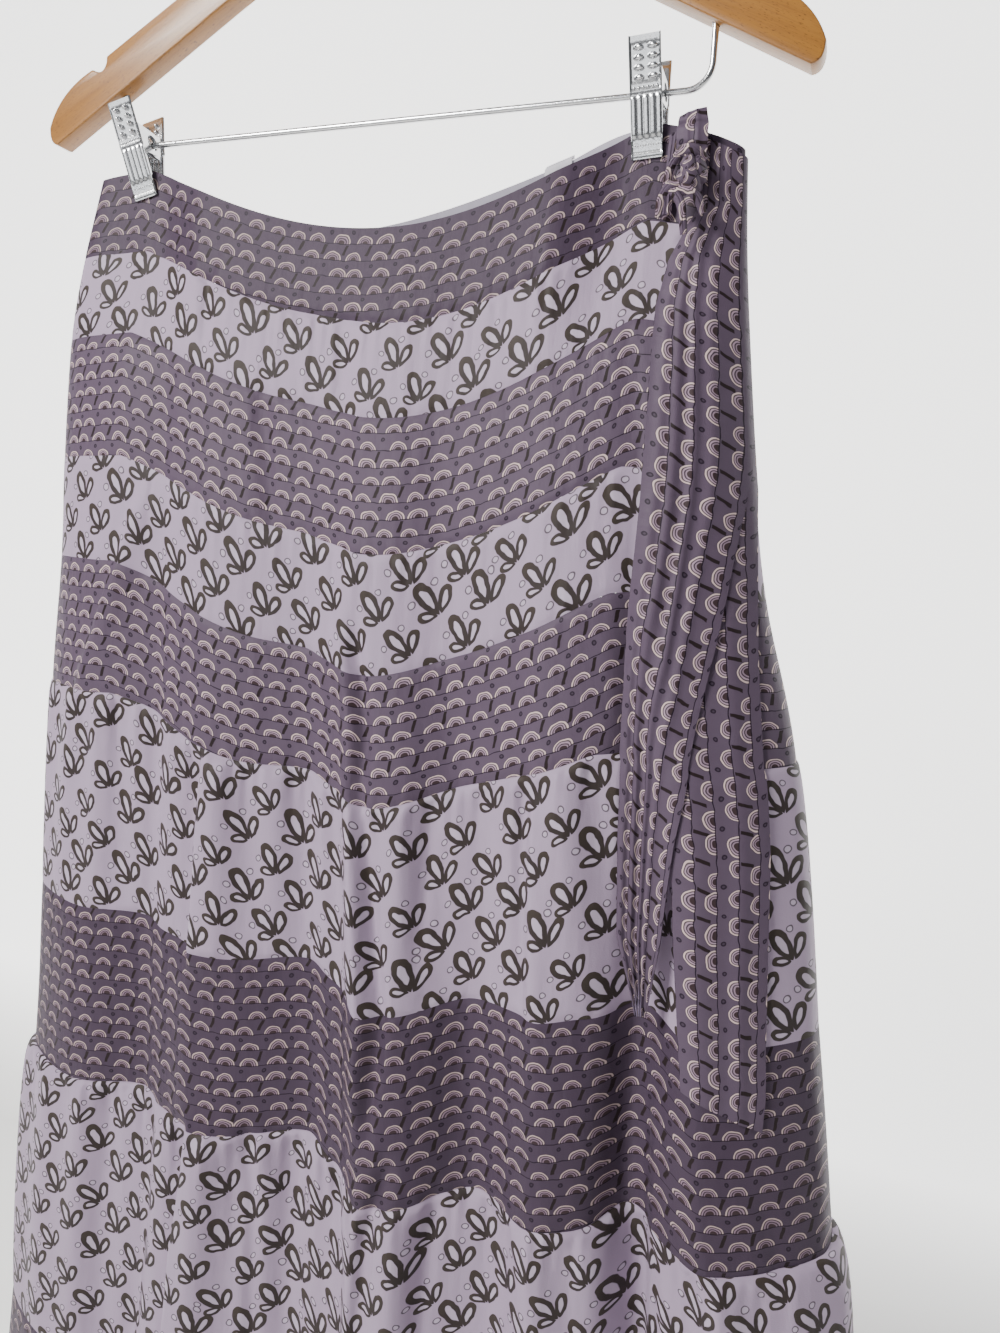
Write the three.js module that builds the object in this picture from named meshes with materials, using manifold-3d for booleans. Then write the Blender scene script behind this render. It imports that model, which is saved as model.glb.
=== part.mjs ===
// Tiered midi skirt clipped to a flat wooden hanger, with a knotted sash at its right side.
// Millimetres, +Z up, front towards -Y. The origin is the inside top of the hanger's hook.
import * as THREE from 'three';
import { mergeVertices } from 'three/addons/utils/BufferGeometryUtils.js';
import Module from 'manifold-3d';

const wasm = await Module();
wasm.setup();

// ---------------------------------------------------------------- driving dimensions

const CLOTH = 1.2; // wall of one layer of cloth
const GAP = 0.3; // clearance left at each seam
const EDGE_HALF = 2.6; // half the thickness of the flat skirt at a clip or a folded side edge
const EDGE_OPEN = 6; // how much more a side edge opens where gain is 1
const EDGE_ROUND = 0.015; // share of the half width over which a side edge rounds

const WOOD = { half: 222, thick: 13, bevel: 1.2 };
const HOOK = { wire: 1.8, radius: 23, stemFoot: -82, from: -54, to: 200 };
const BAR = { wire: 1.7, half: 171.6, z: -203.6, bends: { left: 4.5, right: 12 }, sink: 8 };
const CLIP = {
  width: 15.5, sheet: 1.2, above: 21, below: 31, spread: 14, ear: 1, earHalf: 7.5, pivotHole: 4.3,
};
const CLIPS = [
  { name: 'left', pivot: -160, lean: 12, tip: -153.6 },
  { name: 'right', pivot: 142, lean: 3, tip: 143.6 },
];
const PINCH = { flat: 11, reach: 48, deep: 15, fade: 120 }; // how a clip holds the cloth flat round it

// One row for each seam from the waist's top edge to the hem. side is the height at the grips, below the
// clips, sag how far the front hangs lower at x = low, left and right the side edges, front and back the
// depths of the two faces, and gain how far the folds are open.
const LEVELS = [
  { seam: 'waist', side: -222, sag: 39, low: 6, left: -187, right: 192, front: 8, back: 7, gain: 0.0 },
  { seam: 'yoke', side: -264, sag: 47, low: 16, left: -199, right: 193, front: 15, back: 13, gain: 0.08 },
  { seam: 'tier1', side: -313, sag: 47, low: 20, left: -208, right: 198, front: 20, back: 17, gain: 0.16 },
  { seam: 'tier2', side: -384, sag: 46, low: 20, left: -212, right: 207, front: 25, back: 20, gain: 0.28 },
  { seam: 'tier3', side: -445, sag: 47, low: 14, left: -213, right: 217, front: 29, back: 22, gain: 0.42 },
  { seam: 'tier4', side: -533, sag: 35, low: 14, left: -219, right: 238, front: 32, back: 24, gain: 0.6 },
  { seam: 'tier5', side: -661, sag: 16, low: 20, left: -226, right: 260, front: 35, back: 26, gain: 0.82 },
  { seam: 'tier6', side: -770, sag: 6, low: 20, left: -231, right: 276, front: 38, back: 29, gain: 1.0 },
  { seam: 'tier7', side: -946, sag: 4, low: 20, left: -254, right: 299, front: 42, back: 32, gain: 1.15 },
  { seam: 'hem', side: -1068, sag: 3, low: 20, left: -263, right: 311, front: 45, back: 34, gain: 1.25 },
];
const GRIP = { left: -152, right: 146 }; // where the clips hold the cloth up
const SAG_POWER = { front: 1.2, back: 1.5 };
const BACK = { sag: 0.88, low: -50 }; // the back hangs a little higher, and lowest further left
const EDGE_FALL = { left: 7, right: 15, power: 1.4, rows: 4 }; // how the side edges droop past the grips

// One row for each piece between two seams. gather is how far its gathers stand out, and puff how far the
// gathered cloth stands out at the sides just under its seam.
const TIERS = [
  { name: 'waist_yoke', cloth: 'arch', rows: 2, gather: 0, puff: 0 },
  { name: 'tier1_leaf', cloth: 'leaf', rows: 1, gather: 0, puff: 0 },
  { name: 'tier2_arch', cloth: 'arch', rows: 2, gather: 0, puff: 0 },
  { name: 'tier3_leaf', cloth: 'leaf', rows: 1, gather: 0, puff: 0 },
  { name: 'tier4_arch', cloth: 'arch', rows: 1, gather: 0, puff: 0 },
  { name: 'tier5_leaf', cloth: 'leaf', rows: 2, gather: 2.4, puff: 2 },
  { name: 'tier6_arch', cloth: 'arch', rows: 2, gather: 0, puff: 0 },
  { name: 'tier7_leaf', cloth: 'leaf', rows: 2, gather: 3, puff: 9 },
  { name: 'tier8_arch', cloth: 'arch', rows: 2, gather: 0, puff: 0 },
];
const COLUMNS = { front: 64, back: 48, edge: 4 }; // edge: narrow ones, two at each side edge
const COLUMNS_PER_GATHER = 4;

// One row for each long fold: at is its place from -1 (left edge) to 1 (right edge), width its spread
// in the same measure, out how far it stands forward when gain is 1, skew below 0 makes its left flank
// steeper, and drop is how much lower the seams run on it.
const FOLDS = {
  front: [
    { at: -0.78, width: 0.15, out: 5, skew: 0, drop: 2 },
    { at: -0.58, width: 0.09, out: -9, skew: 0.4, drop: -3 },
    { at: -0.4, width: 0.15, out: 9, skew: -0.5, drop: 2 },
    { at: -0.12, width: 0.1, out: -9, skew: 0.4, drop: -5 },
    { at: 0.06, width: 0.13, out: 16, skew: -0.5, drop: 9 },
    { at: 0.27, width: 0.09, out: -12, skew: 0, drop: -2 },
    { at: 0.42, width: 0.09, out: 12, skew: 0, drop: 3 },
    { at: 0.585, width: 0.08, out: -19, skew: 0.3, drop: -6 },
    { at: 0.78, width: 0.17, out: 15, skew: -0.55, drop: 6 },
  ],
  back: [
    { at: -0.8, width: 0.13, out: 7, skew: 0, drop: 2 },
    { at: -0.6, width: 0.1, out: -8, skew: 0, drop: -2 },
    { at: -0.38, width: 0.13, out: 10, skew: 0.4, drop: 3 },
    { at: -0.14, width: 0.1, out: -9, skew: 0, drop: -3 },
    { at: 0.1, width: 0.13, out: 11, skew: -0.4, drop: 3 },
    { at: 0.33, width: 0.1, out: -9, skew: 0, drop: -2 },
    { at: 0.55, width: 0.12, out: 10, skew: 0.3, drop: 3 },
    { at: 0.8, width: 0.1, out: -6, skew: 0, drop: -1 },
  ],
};

// The two hanging tails of the sash, from top to tip, by their edges. A right edge past the skirt's own
// right side edge ends on that edge.
const TAIL_OVER = [
  { z: -229, left: 173, right: 230 },
  { z: -262, left: 175, right: 230 },
  { z: -285, left: 163, right: 230 },
  { z: -308, left: 157, right: 230 },
  { z: -345, left: 156, right: 203.5 },
  { z: -385, left: 157, right: 205 },
  { z: -400, left: 158, right: 204 },
  { z: -425, left: 160, right: 201 },
  { z: -465, left: 163, right: 197 },
  { z: -505, left: 166, right: 192 },
  { z: -560, left: 170, right: 188 },
  { z: -610, left: 174, right: 185 },
  { z: -648, left: 176.5, right: 179 },
];
const TAIL_UNDER = [
  { z: -268, left: 166, right: 186 },
  { z: -310, left: 161, right: 197 },
  { z: -345, left: 162, right: 203 },
  { z: -385, left: 163, right: 207 },
  { z: -424, left: 165, right: 211 },
  { z: -470, left: 171, right: 216 },
  { z: -520, left: 179, right: 223 },
  { z: -564, left: 185, right: 230 },
  { z: -610, left: 187, right: 234 },
  { z: -650, left: 191, right: 237 },
  { z: -680, left: 195, right: 239 },
];
const SLANT = { overTop: 8, underTip: 17 }; // how much lower a cut end is at its right edge
const LAYER = { under: 1.2, over: 3.2, pleat: 1.6 }; // how far each tail lies off the skirt

const KNOT = { x: 168, y: -18.7, z: -251, rx: 9, ry: 9, rz: 9.2 };
const STUB = { foot: -241.6, top: -220, thick: 3, y: -14, lean: 3 };
const LOOP = { x: 156.4, top: -225, foot: -263, width: 5.5, thick: 3, y: -9.6 };
const FACING = { wall: 1, rows: [0, 0.5], skip: 5 }; // rows as shares of the yoke's height
const LABEL = { x: 88, width: 15, top: -0.06, foot: 0.16, wall: 1, lift: 0.4 };

// ---------------------------------------------------------------- materials

const finish = (name, color, roughness, metalness = 0) =>
  Object.assign(new THREE.MeshStandardMaterial({ color, roughness, metalness }), { name });

const CLOTHS = {
  arch: finish('arch_print', 0x6b6077, 0.6),
  leaf: finish('leaf_print', 0xb9adc4, 0.55),
};
const FACING_CLOTH = finish('facing_cloth', 0xb5b0bd, 0.7);
const LABEL_CLOTH = finish('label_cloth', 0xd9d7dd, 0.7);
const HONEY_WOOD = finish('honey_wood', 0xd8a05a, 0.4);
const CHROME = finish('chrome', 0xd4d6d8, 0.15, 1);

// ---------------------------------------------------------------- small helpers

const group = new THREE.Group();
group.name = 'tiered_midi_skirt';

const clamp = THREE.MathUtils.clamp;
const lerp = THREE.MathUtils.lerp;
const smoothstep = THREE.MathUtils.smoothstep;
const V = (x, y, z) => new THREE.Vector3(x, y, z);

function add(name, geometry, material) {
  const mesh = new THREE.Mesh(geometry, material);
  mesh.name = name;
  group.add(mesh);
  return mesh;
}

/** A value of the level table between its rows, on a smooth curve through them. */
function level(key, v) {
  const i = clamp(Math.floor(v), 0, LEVELS.length - 2);
  const f = v - i;
  const at = (k) => LEVELS[clamp(k, 0, LEVELS.length - 1)][key];
  const [a, b, c, d] = [at(i - 1), at(i), at(i + 1), at(i + 2)];
  const m0 = (c - a) / 2;
  const m1 = (d - b) / 2;
  const f2 = f * f;
  const f3 = f2 * f;
  return (2 * f3 - 3 * f2 + 1) * b + (f3 - 2 * f2 + f) * m0 + (3 * f2 - 2 * f3) * c + (f3 - f2) * m1;
}

/** A row value of a tail's table at height z. */
function tableAt(rows, key, z) {
  const found = rows.findIndex((row) => row.z <= z);
  const i = found < 0 ? rows.length - 1 : Math.max(1, found);
  const f = clamp((rows[i - 1].z - z) / (rows[i - 1].z - rows[i].z), 0, 1);
  return lerp(rows[i - 1][key], rows[i][key], f);
}

/** Height of one fold at t: 1 on its crest, falling off faster on the side that skew picks. */
function bump(fold, t) {
  const s = (t - fold.at) / (fold.width * (1 - fold.skew * Math.sign(t - fold.at)));
  return Math.exp(-1.3 * s * s);
}

/** How firmly the nearest clip holds the cloth flat: 1 under its jaws, 0 far from it. */
function pinch(x, drop) {
  const near = Math.min(...CLIPS.map((clip) => Math.abs(x - clip.tip)));
  const across = 1 - smoothstep(near, PINCH.flat, PINCH.reach);
  return across * (1 - smoothstep(drop, PINCH.deep, PINCH.fade));
}

// ---------------------------------------------------------------- the skirt's surface

/** Share of the sag at x: 1 at the lowest place, 0 at the grips and past them. */
function hang(side, x, v) {
  const low = level('low', v) + (side === 'back' ? BACK.low : 0);
  const span = (x - low) / (x < low ? low - GRIP.left : GRIP.right - low);
  return Math.pow(Math.max(0, 1 - span * span), SAG_POWER[side]);
}

/** How far the cloth past the grips droops at x. */
function edgeFall(x, v, left, right) {
  const past = x < 0 ? (GRIP.left - x) / (GRIP.left - left) : (x - GRIP.right) / (right - GRIP.right);
  const fall = (x < 0 ? EDGE_FALL.left : EDGE_FALL.right) * Math.max(0, 1 - v / EDGE_FALL.rows);
  return fall * Math.pow(clamp(past, 0, 1), EDGE_FALL.power);
}

/** Point of the skirt's outer face. side is 'front' or 'back', t runs from the left edge (-1) to the
 *  right edge (1), v counts seams down from the waist. Cloth lying over the folds has spans set, so that
 *  it bridges their hollows. */
function skirtPoint(side, t, v, spans = false) {
  const tier = TIERS[clamp(Math.floor(v), 0, TIERS.length - 1)];
  const down = clamp(v - TIERS.indexOf(tier), 0, 1);
  const puff = tier.puff * 2 * Math.pow(down, 0.35) * (1 - down);
  const left = level('left', v) - puff;
  const right = level('right', v) + puff;
  const x = lerp(left, right, (t + 1) / 2);
  const sag = level('sag', v) * (side === 'front' ? 1 : BACK.sag);
  const round = Math.pow(1 - Math.pow(Math.abs(t), 5), 0.6);
  const gain = level('gain', v);
  let out = level(side, v) * round;
  let z = level('side', v) - sag * hang(side, x, v) - edgeFall(x, v, left, right);
  for (const fold of FOLDS[side]) {
    if (spans && fold.out < 0) continue;
    const b = bump(fold, t) * gain * round;
    out += fold.out * b;
    z -= fold.drop * b;
  }
  if (tier.gather > 0) {
    const waves = COLUMNS[side] / COLUMNS_PER_GATHER;
    const wobble = 0.7 * Math.sin(5.1 * t + v) + 0.5 * Math.sin(9.7 * t);
    const wave = spans ? 1 : Math.sin(Math.PI * waves * (t + 1) + wobble);
    out += tier.gather * wave * round * lerp(1, 0.35, down) * smoothstep(down, 0, 0.08);
  }
  const drop = level('side', 0) - level('side', v);
  const open = 1 - pinch(x, drop);
  const rim = clamp((Math.abs(t) - (1 - EDGE_ROUND)) / EDGE_ROUND, 0, 1);
  const flat = lerp(GAP / 2, EDGE_HALF + EDGE_OPEN * gain, Math.sqrt(1 - rim * rim));
  const y = flat + Math.max(0, out) * open;
  return V(x, side === 'front' ? -y : y, z);
}

/** Level outward normal of the same point. */
function skirtNormal(side, t, v, spans = false) {
  if (Math.abs(t) > 0.9999) return V(Math.sign(t), 0, 0);
  const step = Math.min(0.003, (1 - Math.abs(t)) / 2);
  const along = skirtPoint(side, t + step, v, spans).sub(skirtPoint(side, t - step, v, spans));
  return V(along.y, -along.x, 0).multiplyScalar(side === 'front' ? 1 : -1).normalize();
}

/** The v at which the front, at this x, has height z. */
function rowAt(x, z) {
  let low = 0;
  let high = TIERS.length;
  for (let i = 0; i < 30; i++) {
    const v = (low + high) / 2;
    if (skirtPoint('front', placeAt(x, v), v).z > z) low = v;
    else high = v;
  }
  return (low + high) / 2;
}

/** The place across the skirt, from -1 to 1, of this x at row v. */
function placeAt(x, v) {
  const left = level('left', v);
  return clamp((2 * (x - left)) / (level('right', v) - left) - 1, -1, 1);
}

// ---------------------------------------------------------------- walls

/** A closed wall from a grid of outer and inner points. */
function wall(columns, rows, outer, inner) {
  const position = [];
  const faces = [];
  const width = columns + 1;
  for (const point of [outer, inner])
    for (let j = 0; j <= rows; j++)
      for (let i = 0; i <= columns; i++) position.push(...point(i, j).toArray());
  const o = (i, j) => j * width + i;
  const n = (i, j) => (rows + 1) * width + o(i, j);
  const quad = (a, b, c, d) => faces.push(a, b, c, a, c, d);
  for (let j = 0; j < rows; j++)
    for (let i = 0; i < columns; i++) {
      quad(o(i, j), o(i, j + 1), o(i + 1, j + 1), o(i + 1, j));
      quad(n(i, j), n(i + 1, j), n(i + 1, j + 1), n(i, j + 1));
    }
  for (let i = 0; i < columns; i++) {
    quad(o(i, 0), o(i + 1, 0), n(i + 1, 0), n(i, 0));
    quad(o(i + 1, rows), o(i, rows), n(i, rows), n(i + 1, rows));
  }
  for (let j = 0; j < rows; j++) {
    quad(o(0, j + 1), o(0, j), n(0, j), n(0, j + 1));
    quad(o(columns, j), o(columns, j + 1), n(columns, j + 1), n(columns, j));
  }
  return closed(position, faces);
}

/** A geometry from points and faces, turned so that its faces point out. */
function closed(position, faces) {
  const geometry = new THREE.BufferGeometry();
  geometry.setAttribute('position', new THREE.Float32BufferAttribute(position, 3));
  let volume = 0;
  const p = (k) => V(position[3 * k], position[3 * k + 1], position[3 * k + 2]);
  for (let f = 0; f < faces.length; f += 3)
    volume += p(faces[f]).dot(p(faces[f + 1]).cross(p(faces[f + 2])));
  const turned = (_, k) => faces[k % 3 === 0 ? k : 3 * Math.floor(k / 3) + 3 - (k % 3)];
  geometry.setIndex(volume < 0 ? faces.map(turned) : faces);
  return geometry;
}

/** Even columns across a panel, with a narrow one at each end for the rounded side edge. */
function columnPlace(columns, i) {
  const ends = [-1, -1 + EDGE_ROUND * 0.4, -1 + EDGE_ROUND];
  if (i < 3) return ends[i];
  if (i > columns - 3) return -ends[columns - i];
  return lerp(-1 + EDGE_ROUND, 1 - EDGE_ROUND, (i - 2) / (columns - 4));
}

/** One panel of one tier, between its two seams. */
function panel(side, k) {
  const { rows } = TIERS[k];
  const total = COLUMNS[side] + COLUMNS.edge;
  const at = (i, j) => {
    const t = columnPlace(total, i);
    const v = k + clamp(j / rows, 1e-6, 1 - 1e-6);
    const p = skirtPoint(side, t, v);
    if (j === 0 && k > 0) p.z -= GAP / 2;
    if (j === rows && k < TIERS.length - 1) p.z += GAP / 2;
    return { p, n: skirtNormal(side, t, v) };
  };
  return wall(
    total,
    rows,
    (i, j) => at(i, j).p,
    (i, j) => {
      const { p, n } = at(i, j);
      return p.addScaledVector(n, -CLOTH);
    },
  );
}

for (const side of ['front', 'back'])
  TIERS.forEach((tier, k) => add(`${tier.name}_${side}`, panel(side, k), CLOTHS[tier.cloth]));

// ---------------------------------------------------------------- waist facing and blank label

/** Point on the back yoke's inner face, at a share of the yoke's height, moved further in. */
function insidePoint(t, down, inward) {
  const p = skirtPoint('back', t, down);
  return p.addScaledVector(skirtNormal('back', t, down), -(CLOTH + inward));
}

/** The facing, on the yoke's own columns so that it follows the yoke's wall exactly. */
function facing() {
  const columns = COLUMNS.back + COLUMNS.edge;
  const at = (i) => columnPlace(columns, i + FACING.skip);
  const { rows, skip, wall: thick } = FACING;
  return wall(
    columns - 2 * skip,
    rows.length - 1,
    (i, j) => insidePoint(at(i), rows[j], GAP),
    (i, j) => insidePoint(at(i), rows[j], GAP + thick),
  );
}

function label() {
  const { x, width, top, foot, wall: thick, lift } = LABEL;
  const first = placeAt(x, 0);
  const last = placeAt(x + width, 0);
  const at = (i, j, inward) => insidePoint(lerp(first, last, i / 2), j ? foot : top, inward);
  const off = GAP + FACING.wall + lift;
  return wall(2, 1, (i, j) => at(i, j, off), (i, j) => at(i, j, off + thick));
}

add('waist_facing_back', facing(), FACING_CLOTH);
add('waist_label_blank', label(), LABEL_CLOTH);

// ---------------------------------------------------------------- sash

/** Point on a tail: a share of the way across, at one height, moved off the skirt. */
function tailPoint(rows, share, z, off) {
  const x = lerp(tableAt(rows, 'left', z), Math.min(tableAt(rows, 'right', z), edgeAt(z)), share);
  const v = rowAt(x, z);
  const t = placeAt(x, v);
  return skirtPoint('front', t, v, true).setZ(z).addScaledVector(skirtNormal('front', t, v, true), off);
}

/** The skirt's right side edge at height z. */
function edgeAt(z) {
  return level('right', rowAt(level('right', TIERS.length), z));
}

/** A hanging tail, with its columns closer together towards its right edge. */
function tail(rows, { columns, steps, base, pleat = 0, topSlant = 0, tipSlant = 0 }) {
  const top = rows[0].z;
  const tip = rows[rows.length - 1].z;
  const shareAt = (i) => 1 - Math.pow(1 - i / columns, 1.6);
  const off = (share) => base + pleat * Math.pow(Math.sin(Math.PI * 3 * share), 2) * (share < 0.67 ? 1 : 0.2);
  const slant = (down) => topSlant * Math.pow(1 - down, 6) + tipSlant * Math.pow(down, 6);
  const height = (i, j) => lerp(top, tip, j / steps) - slant(j / steps) * shareAt(i);
  const at = (i, j, lift) => tailPoint(rows, shareAt(i), height(i, j), off(shareAt(i)) + lift);
  return wall(columns, steps, (i, j) => at(i, j, CLOTH), (i, j) => at(i, j, 0));
}

const underTail = tail(TAIL_UNDER, { columns: 10, steps: 15, base: LAYER.under, tipSlant: SLANT.underTip });
const overTail = tail(TAIL_OVER, {
  columns: 12, steps: 16, base: LAYER.over, pleat: LAYER.pleat, topSlant: SLANT.overTop,
});
add('sash_tail_under', underTail, CLOTHS.arch);
add('sash_tail_over', overTail, CLOTHS.arch);

/** A slightly lobed ball for the knot. */
function knot() {
  const ball = mergedSphere(14, 10);
  const place = ball.getAttribute('position');
  for (let i = 0; i < place.count; i++) {
    const p = V().fromBufferAttribute(place, i);
    const lobe = 1 + 0.07 * Math.sin(3 * Math.atan2(p.z, p.x) + 2 * p.y);
    place.setXYZ(i, KNOT.x + KNOT.rx * p.x * lobe, KNOT.y + KNOT.ry * p.y, KNOT.z + KNOT.rz * p.z * lobe);
  }
  return ball;
}

function mergedSphere(around, down) {
  const ball = new THREE.SphereGeometry(1, around, down);
  ball.deleteAttribute('normal');
  ball.deleteAttribute('uv');
  return mergeVertices(ball, 1e-4);
}

/** A short strip of sash: rows give centre x, width and y, all at the strip's own heights. */
function strip(rows, thick) {
  const columns = 3;
  const curve = (share) => -1.2 * Math.sin(Math.PI * share);
  const at = (i, j, back) => {
    const row = rows[j];
    const share = i / columns;
    return V(row.x + row.width * (share - 0.5), row.y + curve(share) + back, row.z);
  };
  return wall(columns, rows.length - 1, (i, j) => at(i, j, 0), (i, j) => at(i, j, thick));
}

const stubRows = [
  { z: STUB.top, x: KNOT.x + STUB.lean, width: 15, y: STUB.y + 1 },
  { z: lerp(STUB.top, STUB.foot, 0.35), x: KNOT.x + 1, width: 16, y: STUB.y },
  { z: lerp(STUB.top, STUB.foot, 0.75), x: KNOT.x, width: 13, y: STUB.y - 1 },
  { z: STUB.foot, x: KNOT.x, width: 9, y: STUB.y - 2 },
];
add('sash_stub', strip(stubRows, STUB.thick), CLOTHS.arch);

const loopRows = [
  { z: LOOP.top, x: LOOP.x + 1, width: LOOP.width, y: LOOP.y + 1 },
  { z: lerp(LOOP.top, LOOP.foot, 0.4), x: LOOP.x, width: LOOP.width - 1.5, y: LOOP.y },
  { z: LOOP.foot, x: LOOP.x - 1, width: LOOP.width, y: LOOP.y + 1 },
];
add('sash_loop', strip(loopRows, LOOP.thick), CLOTHS.arch);
add('sash_knot', knot(), CLOTHS.arch);

// ---------------------------------------------------------------- solids for joins and cuts

function solid(geometry) {
  const g = geometry.clone();
  g.deleteAttribute('normal');
  g.deleteAttribute('uv');
  const merged = mergeVertices(g, 1e-4);
  return new wasm.Manifold(
    new wasm.Mesh({
      numProp: 3,
      vertProperties: new Float32Array(merged.getAttribute('position').array),
      triVerts: new Uint32Array(merged.index.array),
    }),
  );
}

function geometryOf(manifold) {
  const mesh = manifold.getMesh();
  const geometry = new THREE.BufferGeometry();
  const points = [];
  for (let i = 0; i < mesh.vertProperties.length; i += mesh.numProp)
    points.push(mesh.vertProperties[i], mesh.vertProperties[i + 1], mesh.vertProperties[i + 2]);
  geometry.setAttribute('position', new THREE.Float32BufferAttribute(points, 3));
  geometry.setIndex(Array.from(mesh.triVerts));
  return geometry;
}

/** A round bar of the given radius from one point along +Z. */
function post(x, y, z, radius, height, sides = 10) {
  const g = new THREE.CylinderGeometry(radius, radius, height, sides);
  g.rotateX(Math.PI / 2);
  g.translate(x, y, z + height / 2);
  return g;
}

/** The corners of a round section. */
function ring(radius, sides) {
  const corner = (i) => (2 * Math.PI * i) / sides;
  return Array.from({ length: sides }, (_, i) =>
    new THREE.Vector2(radius * Math.cos(corner(i)), radius * Math.sin(corner(i))));
}

/** A round wire through points of the XZ plane, one ring of corners at each, with closed ends. */
function wire(points, radius, sides) {
  const position = [];
  const faces = [];
  points.forEach((p, i) => {
    const ahead = points[Math.min(i + 1, points.length - 1)];
    const behind = points[Math.max(i - 1, 0)];
    const way = ahead.clone().sub(behind).normalize();
    for (const c of ring(radius, sides)) position.push(p.x - way.z * c.x, c.y, p.z + way.x * c.x);
  });
  const at = (i, k) => i * sides + (k % sides);
  for (let i = 0; i < points.length - 1; i++)
    for (let k = 0; k < sides; k++)
      faces.push(at(i, k), at(i, k + 1), at(i + 1, k + 1), at(i, k), at(i + 1, k + 1), at(i + 1, k));
  const last = points.length - 1;
  for (let k = 1; k < sides - 1; k++) {
    faces.push(at(0, 0), at(0, k + 1), at(0, k));
    faces.push(at(last, 0), at(last, k), at(last, k + 1));
  }
  return closed(position, faces);
}

// ---------------------------------------------------------------- wooden hanger

/** Half of the hanger's outline, from the top centre out to the tip and back along the lower edge. */
function woodShape() {
  const half = WOOD.half;
  const right = new THREE.Shape();
  right.moveTo(0, -73);
  right.quadraticCurveTo(26, -73, 60, -92);
  right.lineTo(181, -154);
  right.lineTo(181, -159);
  right.lineTo(186, -163);
  right.lineTo(191, -160);
  right.quadraticCurveTo(half - 6, -170, half + 1, -190);
  right.lineTo(half - 1, -199);
  right.lineTo(half - 5, -200);
  right.lineTo(95, -133);
  right.quadraticCurveTo(40, -104, 0, -102);
  const points = right.getPoints(5);
  const mirrored = points.slice(1, -1).reverse().map((p) => new THREE.Vector2(-p.x, p.y));
  return new THREE.Shape([...points, ...mirrored]);
}

/** The lower edge's height at x, where an upturned end of the bar enters the wood. */
const lowerEdge = (x) => lerp(-133, -200, (Math.abs(x) - 95) / (WOOD.half - 5 - 95));

function wood() {
  const body = new THREE.ExtrudeGeometry(woodShape(), {
    depth: WOOD.thick - 2 * WOOD.bevel,
    bevelEnabled: true,
    bevelThickness: WOOD.bevel,
    bevelSize: WOOD.bevel,
    bevelOffset: -WOOD.bevel,
    bevelSegments: 1,
    curveSegments: 5,
  });
  body.translate(0, 0, -(WOOD.thick - 2 * WOOD.bevel) / 2);
  body.rotateX(Math.PI / 2);
  let made = solid(body);
  for (const x of [-BAR.half, BAR.half])
    made = made.subtract(solid(post(x, 0, lowerEdge(x) - 6, BAR.wire + GAP, BAR.sink + 8)));
  made = made.subtract(solid(post(0, 0, HOOK.stemFoot - 1, HOOK.wire + GAP, 20)));
  return geometryOf(made);
}

function hook() {
  const centre = HOOK.wire - HOOK.radius;
  const points = [V(0, 0, HOOK.stemFoot), V(0, 0, -56), V(2, 0, -49), V(7, 0, -44.5)];
  for (let a = HOOK.from; a <= HOOK.to; a += 18) {
    const r = THREE.MathUtils.degToRad(a);
    points.push(V(HOOK.radius * Math.cos(r), 0, centre + HOOK.radius * Math.sin(r)));
  }
  return wire(points, HOOK.wire, 8);
}

function bar() {
  const { half, z, bends, sink } = BAR;
  const top = lowerEdge(half) + sink - GAP;
  const end = (sign, bend) => {
    const points = [V(sign * half, 0, top)];
    for (const a of [0, 22, 45, 68, 90]) {
      const r = THREE.MathUtils.degToRad(a);
      points.push(V(sign * (half - bend + bend * Math.cos(r)), 0, z + bend - bend * Math.sin(r)));
    }
    return points;
  };
  const points = [...end(-1, bends.left), ...end(1, bends.right).reverse()];
  return wire(points, BAR.wire, 8);
}

add('hanger_wood', wood(), HONEY_WOOD);
add('hanger_hook', hook(), CHROME);
add('hanger_bar', bar(), CHROME);

// ---------------------------------------------------------------- spring clips

/** Relief of a jaw's face: a raised thumb grip above, four flutes below. */
function relief(across, along) {
  if (along < 0.04 || along > 0.94 || Math.abs(across) > 0.9) return 0;
  return (along < 0.36 ? 1 : 0.7) * Math.abs(Math.sin(2 * Math.PI * across));
}

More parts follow.
